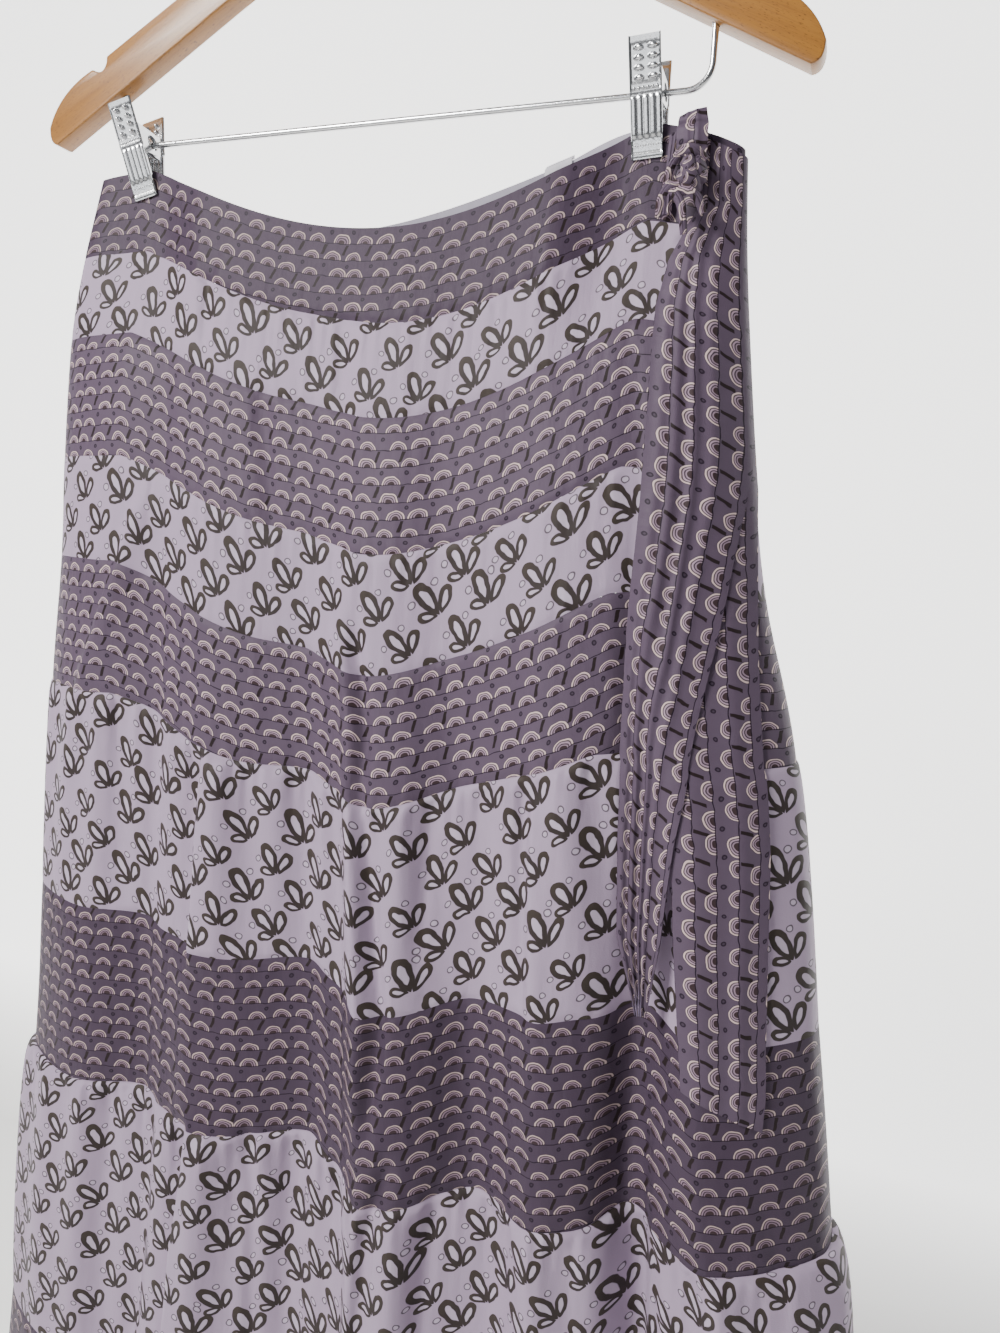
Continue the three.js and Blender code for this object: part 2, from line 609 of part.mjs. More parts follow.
/** One jaw, in the clip's own frame: pivot at the origin, facing -Y. */
function jaw(facing, inset) {
  const { width, sheet, above, below, spread, ear, earHalf, pivotHole } = CLIP;
  const tipY = EDGE_HALF + GAP;
  const rowsAlong = [0, 0.04, 0.34, 0.38, 0.94, 1];
  const columns = 8;
  const length = above + below;
  const at = (i, j, inner) => {
    const along = rowsAlong[j];
    const across = (2 * i) / columns - 1;
    const y = lerp(spread, tipY, Math.min(1, along / 0.97));
    const out = inner ? 0 : sheet + relief(across, along);
    return V((across * width) / 2, -(y + out), above - along * length);
  };
  const plate = wall(columns, rowsAlong.length - 1, (i, j) => at(i, j, false), (i, j) => at(i, j, true));
  const outline = new THREE.Shape();
  const reach = lerp(spread, tipY, above / length) + sheet / 2;
  outline.moveTo(-reach + 1.8, -earHalf);
  outline.lineTo(3, -earHalf * 0.75);
  outline.lineTo(pivotHole + 1.6, 0);
  outline.lineTo(3, earHalf * 0.75);
  outline.lineTo(-reach - 1.2, earHalf);
  outline.closePath();
  outline.holes.push(new THREE.Path(ring(pivotHole, 10)));
  let made = solid(plate);
  for (const sign of [-1, 1]) {
    const flange = new THREE.ExtrudeGeometry(outline, { depth: ear, bevelEnabled: false });
    flange.rotateX(Math.PI / 2);
    flange.rotateZ(Math.PI / 2);
    const x = sign * (width / 2 - inset - ear / 2);
    flange.computeBoundingBox();
    const box = flange.boundingBox;
    flange.translate(x - (box.min.x + box.max.x) / 2, 0, 0);
    made = made.add(solid(flange));
  }
  const geometry = geometryOf(made);
  if (facing < 0) geometry.rotateZ(Math.PI);
  return geometry;
}

/** The spring's barrel round the bar, between the ears. */
function spring() {
  const profile = [
    [3.2, -4.6], [4.6, -4.6], [5, -2.3], [4.6, 0], [5, 2.3], [4.6, 4.6], [3.2, 4.6], [3.2, -4.6],
  ].map(([r, z]) => new THREE.Vector2(r, z));
  const coil = new THREE.LatheGeometry(profile, 10);
  coil.rotateZ(Math.PI / 2);
  return coil;
}

for (const clip of CLIPS) {
  const holder = new THREE.Group();
  holder.position.set(clip.pivot, 0, BAR.z);
  holder.rotation.y = THREE.MathUtils.degToRad(-clip.lean);
  const parts = { front: jaw(1, 0), back: jaw(-1, CLIP.ear + GAP), spring: spring() };
  for (const [name, geometry] of Object.entries(parts)) {
    const mesh = new THREE.Mesh(geometry, CHROME);
    mesh.name = `clip_${clip.name}_${name}`;
    holder.add(mesh);
  }
  group.add(holder);
}

export default group;
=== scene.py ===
"""Looks of a tiered midi skirt held by a clip hanger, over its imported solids.

Sizes are in millimetres and are turned into metres as each mesh is made. The frame is the solids' own:
+Z up, the front towards -Y, and the origin at the inside top of the hanger's hook.
"""

import logging
import math
from dataclasses import dataclass, field
from enum import Enum

import bmesh
import bpy
import numpy as np
from mathutils import Matrix, Vector

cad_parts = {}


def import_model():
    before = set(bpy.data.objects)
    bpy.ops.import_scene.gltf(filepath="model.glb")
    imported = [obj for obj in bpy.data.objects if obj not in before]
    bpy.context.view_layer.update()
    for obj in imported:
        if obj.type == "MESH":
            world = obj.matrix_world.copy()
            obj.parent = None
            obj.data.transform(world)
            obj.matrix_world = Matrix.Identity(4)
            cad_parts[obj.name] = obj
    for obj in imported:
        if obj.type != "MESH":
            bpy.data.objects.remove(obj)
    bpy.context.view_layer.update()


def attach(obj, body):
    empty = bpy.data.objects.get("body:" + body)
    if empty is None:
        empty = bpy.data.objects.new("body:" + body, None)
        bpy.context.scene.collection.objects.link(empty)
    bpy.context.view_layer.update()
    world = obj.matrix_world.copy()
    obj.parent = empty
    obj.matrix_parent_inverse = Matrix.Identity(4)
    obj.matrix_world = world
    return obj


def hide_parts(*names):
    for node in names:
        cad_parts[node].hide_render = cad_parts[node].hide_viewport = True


LOG = logging.getLogger("skirt")
MM = 0.001
BODY = "root"
BAR_Z = -203.6
Array = np.ndarray


# ---------------------------------------------------------------- the skirt's form, as in the solids


class Side(Enum):
    """The two faces of the skirt."""

    FRONT = "front"
    BACK = "back"

    @property
    def sign(self) -> float:
        """Which way along Y the outer face looks."""
        return -1.0 if self is Side.FRONT else 1.0


class Print(Enum):
    """The two printed cloths, by the record's material slots."""

    ARCH = "arch_print"
    LEAF = "leaf_print"


@dataclass(frozen=True)
class Level:
    """One seam, or the waist's top edge or the hem."""

    seam: str
    side: float
    sag: float
    low: float
    left: float
    right: float
    front: float
    back: float
    gain: float


@dataclass(frozen=True)
class Tier:
    """One piece between two seams. pucker is the height of its fine gathers, wall its thickness."""

    name: str
    cloth: Print
    gather: float = 0.0
    puff: float = 0.0
    pucker: float = 0.3
    wall: float = 0.8
    gathered_cut: float = 1.0
    # True takes the darker copy of the arch print, which is painted shade.
    painted_shade: bool = True


@dataclass(frozen=True)
class Fold:
    """A long fold: its place and spread from -1 to 1, how far it stands out, its steep flank, its drop.

    drift is how much further right it starts above than it ends below.
    """

    at: float
    width: float
    out: float
    skew: float
    drop: float
    drift: float = 0.0


@dataclass(frozen=True)
class Crease:
    """A crease that runs down through (x, z) points. left and right are the widths of its two flanks."""

    side: Side
    points: tuple[tuple[float, float], ...]
    out: float
    left: float
    right: float


LEVELS = (
    Level("waist", -218, 43, 6, -187, 190, 8, 7, 0.0),
    Level("yoke", -264, 47, 16, -199, 193, 15, 13, 0.08),
    Level("tier1", -313, 47, 20, -208, 198, 20, 17, 0.16),
    Level("tier2", -384, 46, 20, -212, 207, 25, 20, 0.28),
    Level("tier3", -445, 47, 14, -213, 217, 29, 22, 0.42),
    Level("tier4", -523, 36, 14, -219, 238, 32, 24, 0.6),
    Level("tier5", -655, 12, 20, -226, 260, 35, 26, 0.82),
    Level("tier6", -764, 5, 20, -231, 276, 38, 29, 1.0),
    Level("tier7", -946, 4, 20, -250, 299, 42, 32, 1.15),
    Level("hem", -1068, 3, 20, -263, 311, 45, 34, 1.25),
)
TIERS = (
    Tier("waist_yoke", Print.ARCH, pucker=0.2, wall=1.2),
    Tier("tier1_leaf", Print.LEAF, pucker=0.7, gathered_cut=1.06),
    Tier("tier2_arch", Print.ARCH, pucker=0.3, painted_shade=False),
    Tier("tier3_leaf", Print.LEAF, pucker=0.7, gathered_cut=1.06),
    Tier("tier4_arch", Print.ARCH, pucker=0.3, painted_shade=False),
    Tier("tier5_leaf", Print.LEAF, gather=2.4, puff=2, pucker=1.1, gathered_cut=1.16),
    Tier("tier6_arch", Print.ARCH, pucker=0.4),
    Tier("tier7_leaf", Print.LEAF, gather=3, puff=9, pucker=1.3, gathered_cut=1.16),
    Tier("tier8_arch", Print.ARCH, pucker=0.5),
)
FOLDS = {
    Side.FRONT: (
        Fold(-0.78, 0.15, 5, 0, 2),
        Fold(-0.58, 0.09, -9, 0.4, -3),
        Fold(-0.4, 0.15, 9, -0.5, 2),
        Fold(-0.12, 0.1, -9, 0.4, -8),
        Fold(0.06, 0.13, 16, -0.5, 12),
        Fold(0.27, 0.09, -12, 0, -2),
        Fold(0.42, 0.1, 12, -0.2, 3, 0.12),
        Fold(0.585, 0.07, -19, -0.25, -6, 0.165),
        Fold(0.78, 0.17, 15, -0.55, 6),
    ),
    Side.BACK: (
        Fold(-0.8, 0.13, 7, 0, 2),
        Fold(-0.6, 0.1, -8, 0, -2),
        Fold(-0.38, 0.13, 10, 0.4, 3),
        Fold(-0.14, 0.1, -9, 0, -3),
        Fold(0.1, 0.13, 11, -0.4, 3),
        Fold(0.33, 0.1, -9, 0, -2),
        Fold(0.55, 0.12, 10, 0.3, 3),
        Fold(0.8, 0.1, -6, 0, -1),
    ),
}
F, B = Side.FRONT, Side.BACK
CREASES = (
    Crease(F, ((-135, -408), (-146, -442), (-160, -482), (-178, -524)), 2.6, 4, 12),
    Crease(F, ((-77, -556), (-79, -590), (-80, -642), (-81, -668)), 3.4, 3, 26),
    Crease(F, ((-82, -556), (-84, -590), (-85, -642), (-86, -668)), -3.2, 15, 3),
    Crease(F, ((-76, -772), (-78, -800), (-84, -845), (-88, -915), (-91, -1060)), 4.4, 3, 24),
    Crease(F, ((-82, -772), (-84, -800), (-90, -845), (-94, -915), (-97, -1060)), -4.4, 16, 3),
    Crease(F, ((-58, -350), (-55, -374), (-48, -420)), -1.6, 6, 5),
    Crease(F, ((-101, -283), (-99, -322)), -1.3, 4, 5),
    Crease(F, ((-12, -312), (-11, -356)), -1.2, 4, 4),
    Crease(F, ((4, -437), (-1, -492)), 1.2, 5, 8),
    Crease(F, ((10, -470), (22, -530), (21, -557), (32, -618), (42, -677), (39, -740)), -3.0, 5, 4),
    Crease(F, ((2, -480), (12, -530), (11, -557), (21, -618), (30, -677), (28, -730)), 2.6, 10, 6),
    Crease(F, ((51, -755), (40, -800), (38, -870), (40, -1040)), -3.0, 4, 6),
    Crease(F, ((16, -775), (25, -825), (24, -870), (20, -1000)), -2.6, 4, 5),
    Crease(F, ((-43, -762), (-37, -812), (-36, -898), (-38, -980)), -2.2, 4, 6),
    Crease(F, ((-113, -765), (-115, -840), (-126, -930)), -2.4, 8, 5),
    Crease(F, ((111, -541), (112, -577), (117, -655)), -2.6, 6, 4),
    Crease(F, ((117, -548), (119, -590), (124, -660)), 2.6, 4, 12),
    Crease(F, ((57, -553), (58, -591), (58, -650)), -1.4, 5, 4),
    Crease(F, ((75, -770), (72, -800), (71, -856), (74, -930)), -2.4, 5, 5),
    Crease(F, ((187, -698), (190, -760), (193, -840), (198, -1060)), 4.0, 2.5, 20),
    Crease(F, ((243, -733), (253, -765), (262, -820)), -2.0, 5, 6),
    Crease(B, ((-120, -420), (-128, -520), (-131, -660)), 2.4, 5, 16),
    Crease(B, ((-60, -560), (-56, -640), (-62, -700)), -2.2, 6, 5),
    Crease(B, ((30, -470), (26, -560), (35, -690)), 2.6, 14, 5),
    Crease(B, ((92, -545), (96, -620), (90, -740)), -2.6, 5, 6),
    Crease(B, ((150, -640), (156, -740), (160, -860)), 3.0, 4, 18),
    Crease(B, ((-150, -775), (-146, -850), (-155, -940)), -2.4, 6, 6),
    Crease(B, ((-20, -765), (-14, -840), (-18, -960)), -2.4, 5, 5),
    Crease(B, ((64, -770), (70, -860), (66, -1020)), 3.0, 5, 14),
    Crease(B, ((200, -780), (206, -870), (214, -1040)), -2.6, 6, 5),
)


def smoothstep(x: Array, low: float, high: float) -> Array:
    """0 below low, 1 above high, with a smooth rise between."""
    f = np.clip((x - low) / (high - low), 0, 1)
    return f * f * (3 - 2 * f)


def lerp(a: Array, b: Array, f: Array) -> Array:
    """The value a share f of the way from a to b."""
    return a + (b - a) * f


def ripple(s: Array, seed: float) -> Array:
    """Uneven small waves along a length in millimetres, from -1 to 1."""
    drift = 1.7 * np.sin(s / 19.0 + seed)
    return (
        0.5 * np.sin(2 * math.pi * s / 9.3 + drift + seed)
        + 0.3 * np.sin(2 * math.pi * s / 6.1 - drift + 2.3 * seed)
        + 0.3 * np.sin(2 * math.pi * s / 14.9 + 1.9 * drift)
    )


@dataclass(frozen=True)
class SkirtForm:
    """The skirt's surface. t runs across a side from -1 to 1 and v counts seams down from the waist."""

    gap: float = 0.3
    edge_half: float = 2.6
    edge_round: float = 0.015
    grips: tuple[float, float] = (-152.0, 146.0)
    clip_tips: tuple[float, float] = (-153.6, 143.6)
    pinch_flat: float = 11.0
    pinch_reach: float = 48.0
    pinch_deep: float = 15.0
    pinch_fade: float = 120.0
    edge_open: float = 6.0
    sag_power: dict[Side, float] = field(default_factory=lambda: {F: 1.2, B: 1.5})
    back_sag: float = 0.9
    back_low: float = -50.0
    edge_fall: tuple[float, float] = (4.0, 15.0)
    fall_power: float = 1.4
    fall_rows: float = 4.0
    waves: tuple[float, float] = (16.0, 12.0)

    def level(self, key: str, v: Array) -> Array:
        """A value of the level table between its rows, on a smooth curve through them."""
        rows = np.array([getattr(row, key) for row in LEVELS], float)
        last = len(rows) - 1
        i = np.clip(np.floor(v), 0, last - 1).astype(int)
        f = v - i
        a, b, c, d = (rows[np.clip(i + k, 0, last)] for k in (-1, 0, 1, 2))
        m0, m1 = (c - a) / 2, (d - b) / 2
        f2, f3 = f * f, f * f * f
        return (2 * f3 - 3 * f2 + 1) * b + (f3 - 2 * f2 + f) * m0 + (3 * f2 - 2 * f3) * c + (f3 - f2) * m1

    def hang(self, side: Side, x: Array, v: Array) -> Array:
        """Share of the sag at x: 1 at the lowest place, 0 at the grips and past them."""
        low = self.level("low", v) + (self.back_low if side is B else 0)
        reach = np.where(x < low, low - self.grips[0], self.grips[1] - low)
        return np.maximum(0, 1 - ((x - low) / reach) ** 2) ** self.sag_power[side]

    def fall(self, x: Array, v: Array, left: Array, right: Array) -> Array:
        """How far the cloth past the grips droops at x."""
        beyond_left = (self.grips[0] - x) / (self.grips[0] - left)
        beyond_right = (x - self.grips[1]) / (right - self.grips[1])
        past = np.clip(np.where(x < 0, beyond_left, beyond_right), 0, 1)
        depth = np.where(x < 0, *self.edge_fall) * np.maximum(0, 1 - v / self.fall_rows)
        return depth * past**self.fall_power

    def open(self, x: Array, v: Array) -> Array:
        """1 where the cloth hangs open, 0 where a clip holds it flat."""
        near = np.minimum(*(np.abs(x - tip) for tip in self.clip_tips))
        drop = LEVELS[0].side - self.level("side", v)
        across = 1 - smoothstep(near, self.pinch_flat, self.pinch_reach)
        return 1 - across * (1 - smoothstep(drop, self.pinch_deep, self.pinch_fade))

    def point(self, side: Side, t: Array, v: Array, tier: Array, spans: bool = False) -> Array:
        """Points of the outer face, in millimetres.

        Args:
            side: The face.
            t: Places across it.
            v: Places down it, in seams.
            tier: The index of the tier that each point belongs to.
            spans: True for cloth that lies over the folds and bridges their hollows.

        Returns:
            An array of the same shape as t with a last axis of x, y and z.
        """
        t, v, tier = np.broadcast_arrays(np.asarray(t, float), np.asarray(v, float), tier)
        down = np.clip(v - tier, 0, 1)
        puff = np.array([row.puff for row in TIERS])[tier] * 2 * down**0.35 * (1 - down)
        left, right = self.level("left", v) - puff, self.level("right", v) + puff
        x = lerp(left, right, (t + 1) / 2)
        round_off = (1 - np.abs(t) ** 5) ** 0.6
        gain = self.level("gain", v)
        sag = self.level("sag", v) * (self.back_sag if side is B else 1)
        out = self.level(side.value, v) * round_off
        z = self.level("side", v) - sag * self.hang(side, x, v) - self.fall(x, v, left, right)
        for fold in FOLDS[side]:
            if spans and fold.out < 0:
                continue
            away = t - fold.at - fold.drift * (1 - smoothstep(v, 3, 8))
            s = away / (fold.width * (1 - fold.skew * np.sign(away)))
            bump = np.exp(-1.3 * s * s) * gain * round_off
            out = out + fold.out * bump
            z = z - fold.drop * bump
        gather = np.array([row.gather for row in TIERS])[tier]
        wobble = 0.7 * np.sin(5.1 * t + v) + 0.5 * np.sin(9.7 * t)
        waves = self.waves[0] if side is F else self.waves[1]
        wave = 1.0 if spans else np.sin(math.pi * waves * (t + 1) + wobble)
        ends = smoothstep(down, 0, 0.08) * smoothstep(1 - down, 0, 0.05)
        out = out + gather * wave * round_off * lerp(1, 0.35, down) * ends
        if not spans:
            out = out + self.relief(side, x, z, v, tier) * round_off
        rim = np.clip((np.abs(t) - (1 - self.edge_round)) / self.edge_round, 0, 1)
        flat = lerp(self.gap / 2, self.edge_half + self.edge_open * gain, np.sqrt(1 - rim * rim))
        y = flat + np.maximum(0, out) * self.open(x, v)
        return np.stack([x, side.sign * y, z], -1)

    def relief(self, side: Side, x: Array, z: Array, v: Array, tier: Array) -> Array:
        """Outward relief too fine for the solids: seam grooves, puckers and creases."""
        heights = -np.diff([row.side for row in LEVELS])[tier]
        below_seam = (v - tier) * heights
        above_seam = (1 - (v - tier)) * heights
        pucker = np.array([row.pucker for row in TIERS])[tier]
        has_top, has_foot = tier > 0, tier < len(TIERS) - 1
        out = -0.7 * has_top * np.exp(-((below_seam / 2.0) ** 2))
        out = out - 0.7 * has_foot * np.exp(-((above_seam / 2.0) ** 2))
        body = smoothstep(below_seam, 0, 5) * np.exp(-below_seam / 22.0)
        out = out + has_top * pucker * body * (0.8 + ripple(x, 1.3 * side.sign + 2.0 * tier))
        under = smoothstep(above_seam, 0, 3) * np.exp(-above_seam / 9.0)
        out = out + has_foot * 0.35 * under * ripple(x, 0.4 + side.sign)
        hem = (tier == len(TIERS) - 1) * smoothstep(18 - above_seam, -0.6, 0.6)
        out = out + 0.5 * hem
        for crease in CREASES:
            if crease.side is side:
                out = out + self.crease(crease, x, z)
        return out

    @staticmethod
    def crease(crease: Crease, x: Array, z: Array) -> Array:
        """Outward height of one crease."""
        xs, zs = np.array(crease.points, float).T
        middle = np.interp(-z, -zs, xs)
        away = x - middle
        flank = np.exp(-((away / np.where(away < 0, crease.left, crease.right)) ** 2))
        ends = smoothstep(zs[0] + 14 - z, 0, 26) * smoothstep(z - zs[-1] + 14, 0, 26)
        return 1.45 * crease.out * flank * ends

    def place(self, x: Array, v: Array) -> Array:
        """The place across the skirt, from -1 to 1, of x at row v."""
        left = self.level("left", v)
        return np.clip(2 * (x - left) / (self.level("right", v) - left) - 1, -1, 1)

    def row(self, x: Array, z: Array) -> Array:
        """The v at which the front, at this x, has height z."""
        low, high = np.zeros_like(x), np.full_like(x, len(TIERS))
        for _ in range(24):
            v = (low + high) / 2
            here = self.point(F, self.place(x, v), v, self.tier_of(v))[..., 2]
            above = here > z
            low, high = np.where(above, v, low), np.where(above, high, v)
        return (low + high) / 2

    @staticmethod
    def tier_of(v: Array) -> Array:
        """The index of the tier at row v."""
        return np.clip(np.floor(v), 0, len(TIERS) - 1).astype(int)


FORM = SkirtForm()


# ---------------------------------------------------------------- meshes


def mesh_object(
    name: str, points: Array, faces: list, materials: list, uv: Array | None = None
) -> bpy.types.Object:
    """A new object from points in millimetres.

    Args:
        name: The object's name.
        points: One row for each vertex.
        faces: Vertex indices of each face, facing out.
        materials: The material slots.
        uv: One row for each vertex, or None.

    Returns:
        The object, smooth and sharp only past a steep angle.
    """
    mesh = bpy.data.meshes.new(name)
    mesh.from_pydata((np.asarray(points, float) * MM).tolist(), [], faces)
    for material in materials:
        mesh.materials.append(material)
    if uv is not None:
        layer = mesh.uv_layers.new(name="cloth")
        corner = np.empty(len(mesh.loops), int)
        mesh.loops.foreach_get("vertex_index", corner)
        layer.data.foreach_set("uv", np.asarray(uv, np.float32)[corner].ravel())
    mesh.polygons.foreach_set("use_smooth", np.ones(len(mesh.polygons), bool))
    mesh.set_sharp_from_angle(angle=math.radians(50))
    thing = bpy.data.objects.new(name, mesh)
    bpy.context.collection.objects.link(thing)
    return thing


def grid_quads(rows: int, columns: int, start: int = 0, turned: bool = False) -> list:
    """The faces of a grid of points that are listed row by row."""
    i, j = np.meshgrid(np.arange(columns - 1), np.arange(rows - 1))
    a = start + j * columns + i
    quads = np.stack([a, a + columns, a + columns + 1, a + 1], -1).reshape(-1, 4)
    return (quads[:, ::-1] if turned else quads).tolist()


def outward_normals(grid: Array, hint: Array) -> Array:
    """Unit normals of a grid of points, on the side that hint points to."""
    across = np.gradient(grid, axis=1)
    down = np.gradient(grid, axis=0)
    normal = np.cross(down, across)
    normal /= np.maximum(np.linalg.norm(normal, axis=-1, keepdims=True), 1e-9)
    return normal if np.sum(normal * hint) > 0 else -normal


def arc_lengths(grid: Array, axis: int) -> Array:
    """Lengths along a grid's rows or columns, from 0."""
    steps = np.linalg.norm(np.diff(grid, axis=axis), axis=-1)
    start = np.zeros_like(np.take(steps, [0], axis=axis))
    return np.concatenate([start, np.cumsum(steps, axis=axis)], axis=axis)


def cloth_shell(
    name: str, grid: Array, uv: Array, wall: float, hint: Array, materials: list
) -> bpy.types.Object:
    """A closed wall of cloth whose outer face is a grid of points.

    Args:
        name: The object's name.
        grid: Outer points, rows down and columns across.
        uv: Two numbers for each point, in metres of cloth.
        wall: The thickness.
        hint: The way the outer face looks, as one vector or one for each point.
        materials: The outer and the inner finish.

    Returns:
        The object.
    """
    rows, columns = grid.shape[:2]
    normal = outward_normals(grid, hint)
    inner = grid - normal * wall
    count = rows * columns
    points = np.concatenate([grid.reshape(-1, 3), inner.reshape(-1, 3)])
    rim_a = [i for i in range(columns)] + [j * columns + columns - 1 for j in range(1, rows)]
    rim_b = [(rows - 1) * columns + i for i in range(columns - 2, -1, -1)]
    rim = rim_a + rim_b + [j * columns for j in range(rows - 2, 0, -1)]
    first = np.cross(grid[1, 0] - grid[0, 0], grid[0, 1] - grid[0, 0])
    turned = float(np.dot(first, normal[0, 0])) < 0
    outer_faces = grid_quads(rows, columns, 0, turned)
    inner_faces = grid_quads(rows, columns, count, not turned)
    closing = [[a, b, b + count, a + count] for a, b in zip(rim, rim[1:] + rim[:1])]
    if turned:
        closing = [face[::-1] for face in closing]
    both = np.tile(uv.reshape(-1, 2), (2, 1))
    thing = mesh_object(name, points, outer_faces + inner_faces + closing, materials, both)
    slots = np.zeros(len(thing.data.polygons), int)
    slots[len(outer_faces) : len(outer_faces) + len(inner_faces)] = len(materials) - 1
    thing.data.polygons.foreach_set("material_index", slots)
    return thing


def tube(name: str, path: Array, radius: float, sides: int, material: bpy.types.Material) -> bpy.types.Object:
    """A round wire along a path, with closed ends.

    Args:
        name: The object's name.
        path: The points of its middle line.
        radius: The wire's radius.
        sides: How many corners its section has.
        material: The finish.

    Returns:
        The object.
    """
    path = np.asarray(path, float)
    along = np.gradient(path, axis=0)
    along /= np.linalg.norm(along, axis=1, keepdims=True)
    side = np.cross(along[0], (0.0, 1.0, 0.0))
    if np.linalg.norm(side) < 1e-6:
        side = np.cross(along[0], (1.0, 0.0, 0.0))
    points = []
    for place, way in zip(path, along):
        side = side - way * np.dot(side, way)
        side /= np.linalg.norm(side)
        up = np.cross(way, side)
        turn = np.linspace(0, 2 * math.pi, sides, endpoint=False)[:, None]
        points.append(place + radius * (np.cos(turn) * side + np.sin(turn) * up))
    faces = []
    for i in range(len(path) - 1):
        for k in range(sides):
            a, b = i * sides + k, i * sides + (k + 1) % sides
            faces.append([a, b, b + sides, a + sides])
    last = (len(path) - 1) * sides
    faces.append(list(range(sides))[::-1])
    faces.append([last + k for k in range(sides)])
    return mesh_object(name, np.concatenate(points), faces, [material])


def settle(piece: bpy.types.Object, slot: str, *nodes: str) -> bpy.types.Object:
    """Lets a finished piece ride on the body and stands it for the named nodes."""
    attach(piece, BODY)
    if nodes:
        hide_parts(*nodes)
    LOG.info("%s: %d faces", piece.name, len(piece.data.polygons))
    return piece


def joined(name: str, parts: list) -> bpy.types.Object:
    """Joins several new objects into the first one and names it."""
    with bpy.context.temp_override(active_object=parts[0], selected_editable_objects=parts):
        bpy.ops.object.join()
    parts[0].name = name
    parts[0].data.name = name
    return parts[0]


def beads(
    name: str, lines: list, material: bpy.types.Material, pitch: float, size: Vector
) -> bpy.types.Object:
    """Rounded beads repeated along lines by Geometry Nodes, as a plain mesh.

    Args:
        name: The object's name.
        lines: Lists of points in millimetres, each an array of rows.
        material: The finish.
        pitch: From one bead to the next.
        size: A bead's half sizes: across, through, and along its line.

    Returns:
        The object.
    """
    tree = bpy.data.node_groups.new(name + "_beads", "GeometryNodeTree")
    face = tree.interface
    face.new_socket("Geometry", in_out="OUTPUT", socket_type="NodeSocketGeometry")
    face.new_socket("Geometry", in_out="INPUT", socket_type="NodeSocketGeometry")
    pitch_in = face.new_socket("Pitch", in_out="INPUT", socket_type="NodeSocketFloat")
    size_in = face.new_socket("Half size", in_out="INPUT", socket_type="NodeSocketVector")
    new, link = tree.nodes.new, tree.links.new
    inputs, outputs = new("NodeGroupInput"), new("NodeGroupOutput")
    curve, resample = new("GeometryNodeMeshToCurve"), new("GeometryNodeResampleCurve")
    resample.mode = "LENGTH"
    link(inputs.outputs["Geometry"], curve.inputs["Mesh"])
    link(curve.outputs["Curve"], resample.inputs["Curve"])
    link(inputs.outputs["Pitch"], resample.inputs["Length"])
    ball, shape = new("GeometryNodeMeshUVSphere"), new("GeometryNodeTransform")
    ball.inputs["Segments"].default_value = 8
    ball.inputs["Rings"].default_value = 5
    ball.inputs["Radius"].default_value = 1.0
    link(ball.outputs["Mesh"], shape.inputs["Geometry"])
    link(inputs.outputs["Half size"], shape.inputs["Scale"])
    tangent, align = new("GeometryNodeInputTangent"), new("FunctionNodeAlignRotationToVector")
    align.axis = "Z"
    link(tangent.outputs["Tangent"], align.inputs["Vector"])
    spread, real, coat = (
        new("GeometryNodeInstanceOnPoints"),
        new("GeometryNodeRealizeInstances"),
        new("GeometryNodeSetMaterial"),
    )
    link(resample.outputs["Curve"], spread.inputs["Points"])
    link(shape.outputs["Geometry"], spread.inputs["Instance"])
    link(align.outputs["Rotation"], spread.inputs["Rotation"])
    link(spread.outputs["Instances"], real.inputs["Geometry"])
    link(real.outputs["Geometry"], coat.inputs["Geometry"])
    coat.inputs["Material"].default_value = material
    link(coat.outputs["Geometry"], outputs.inputs["Geometry"])

    points, edges = [], []
    for line in lines:
        start = len(points)
        points += (np.asarray(line, float) * MM).tolist()
        edges += [(i, i + 1) for i in range(start, len(points) - 1)]
    mesh = bpy.data.meshes.new(name + "_lines")
    mesh.from_pydata(points, edges, [])
    carrier = bpy.data.objects.new(name + "_lines", mesh)
    bpy.context.collection.objects.link(carrier)
    modifier = carrier.modifiers.new("beads", "NODES")
    modifier.node_group = tree
    modifier[pitch_in.identifier] = pitch * MM
    modifier[size_in.identifier] = tuple(value * MM for value in size)
    made = bpy.data.meshes.new_from_object(carrier.evaluated_get(bpy.context.evaluated_depsgraph_get()))
    carrier.modifiers.remove(modifier)
    bpy.data.objects.remove(carrier)
    made.name = name
    made.polygons.foreach_set("use_smooth", np.ones(len(made.polygons), bool))
    thing = bpy.data.objects.new(name, made)
    bpy.context.collection.objects.link(thing)
    return thing


# ---------------------------------------------------------------- finishes


def linear(code: str) -> tuple[float, float, float, float]:
    """A linear colour from a six-digit code."""
    parts = [int(code[i : i + 2], 16) / 255 for i in (0, 2, 4)]
    return (*(c / 12.92 if c <= 0.04045 else ((c + 0.055) / 1.055) ** 2.4 for c in parts), 1.0)


